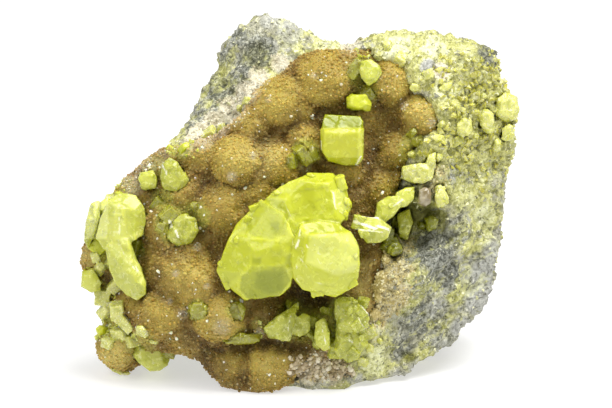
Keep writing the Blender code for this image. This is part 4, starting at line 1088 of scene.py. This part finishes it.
ochre_finish = grit("ochre_points", (0.52, 0.42, 0.16), (0.69, 0.59, 0.27), (0.86, 0.79, 0.5))
ledge = intergrown("ochre_ledge", rock, [
    (17.4, 28.6, 2.2, 2.4, 0), (17.2, 26.8, 2.2, 2.4, 0), (16.8, 25, 2.2, 2.4, 0),
    (16.4, 23.2, 2.2, 2.4, 0), (15.8, 21.4, 2.2, 2.4, 0), (15.4, 19.6, 2.2, 2.4, 0),
    (15, 17.8, 2.2, 2.4, 0), (14.8, 16, 2, 2.2, 0),
], ochre_finish)
paint(ledge, "tan", lambda point, normal: 1.0)
for host, name, seed in ((rock, "ochre_points", 51), (ledge, "ochre_ledge_points", 57)):
    grow(
        name, host,
        [pointed_crystal("ochre_%d" % sides, 0.4 * MM, 0.6 * MM, sides) for sides in (3, 4)],
        ochre_finish,
        spacing=0.5 * MM, sizes=(0.5, 1.3), tilt=0.8, keep="tan", seed=seed,
    )

# ---- the frosting
# A thin rime of whitish calcite crumbs, along the seam between crust and rock at the upper
# left and in small nests on the lumps of the crust.

frost_finish = grit("frosting", (0.45, 0.39, 0.26), (0.64, 0.58, 0.42), (0.86, 0.83, 0.68))
for host, name, seed in ((rock, "rock_frosting", 41), (crust, "crust_frosting", 45)):
    grow(
        name, host, crumbs(0.6 * MM), frost_finish,
        spacing=0.5 * MM, sizes=(0.4, 1.2), tilt=1.5, keep="frost", seed=seed,
    )

# ---- floor, light and camera
# A plain white floor, a broad soft key light over the piece and a little in front and to the
# right, a weaker one in front on the left, and a long lens square to the leaning face.


def white_floor():
    finish = Finish("white_floor", Roughness=1.0, Emission_Strength=0.52)
    finish.shader.inputs["Base Color"].default_value = (0.5, 0.5, 0.5, 1)
    finish.shader.inputs["Emission Color"].default_value = (1, 1, 1, 1)
    return finish.material


FLOOR_WIDTH = 6.0
bm = bmesh.new()
bmesh.ops.create_grid(bm, x_segments=1, y_segments=1, size=FLOOR_WIDTH / 2)
floor = new_piece("floor", bm)
floor.data.materials.append(white_floor())

world = bpy.data.worlds.new("studio")
world.use_nodes = True
sky = world.node_tree.nodes["Background"]
sky.inputs["Color"].default_value = (1, 1, 1, 1)
sky.inputs["Strength"].default_value = 0.5
scene.world = world

MIDDLE = on_face(0, 38)


def soft_light(name, place, width, watts):
    """A round lamp that shines at the middle of the face."""
    lamp = bpy.data.lights.new(name, "AREA")
    lamp.shape = "DISK"
    lamp.size = width
    lamp.energy = watts
    obj = bpy.data.objects.new(name, lamp)
    obj.location = place
    obj.rotation_euler = (MIDDLE - place).to_track_quat("-Z", "Y").to_euler()
    scene.collection.objects.link(obj)


soft_light("key", MIDDLE + FACE_UP * 0.55 + FACE_OUT * 0.26 + FACE_ACROSS * 0.2, 0.55, 5.8)
soft_light("left", MIDDLE - FACE_ACROSS * 0.38 + FACE_OUT * 0.42 + FACE_UP * 0.34, 0.5, 1.6)

CAMERA_AWAY = 1.6
VIEW_WIDTH = 122.4 * MM  # what the frame's width takes in at the crystal face
SENSOR = 36.0
camera_data = bpy.data.cameras.new("camera")
camera_data.sensor_width = SENSOR
camera_data.lens = SENSOR * CAMERA_AWAY / VIEW_WIDTH
camera = bpy.data.objects.new("camera", camera_data)
camera.location = on_face(1.2, 38.0) + FACE_OUT * CAMERA_AWAY
camera.rotation_euler = (math.radians(90) - LEAN, 0, 0)
scene.collection.objects.link(camera)
scene.camera = camera
scene.view_settings.view_transform = "Standard"
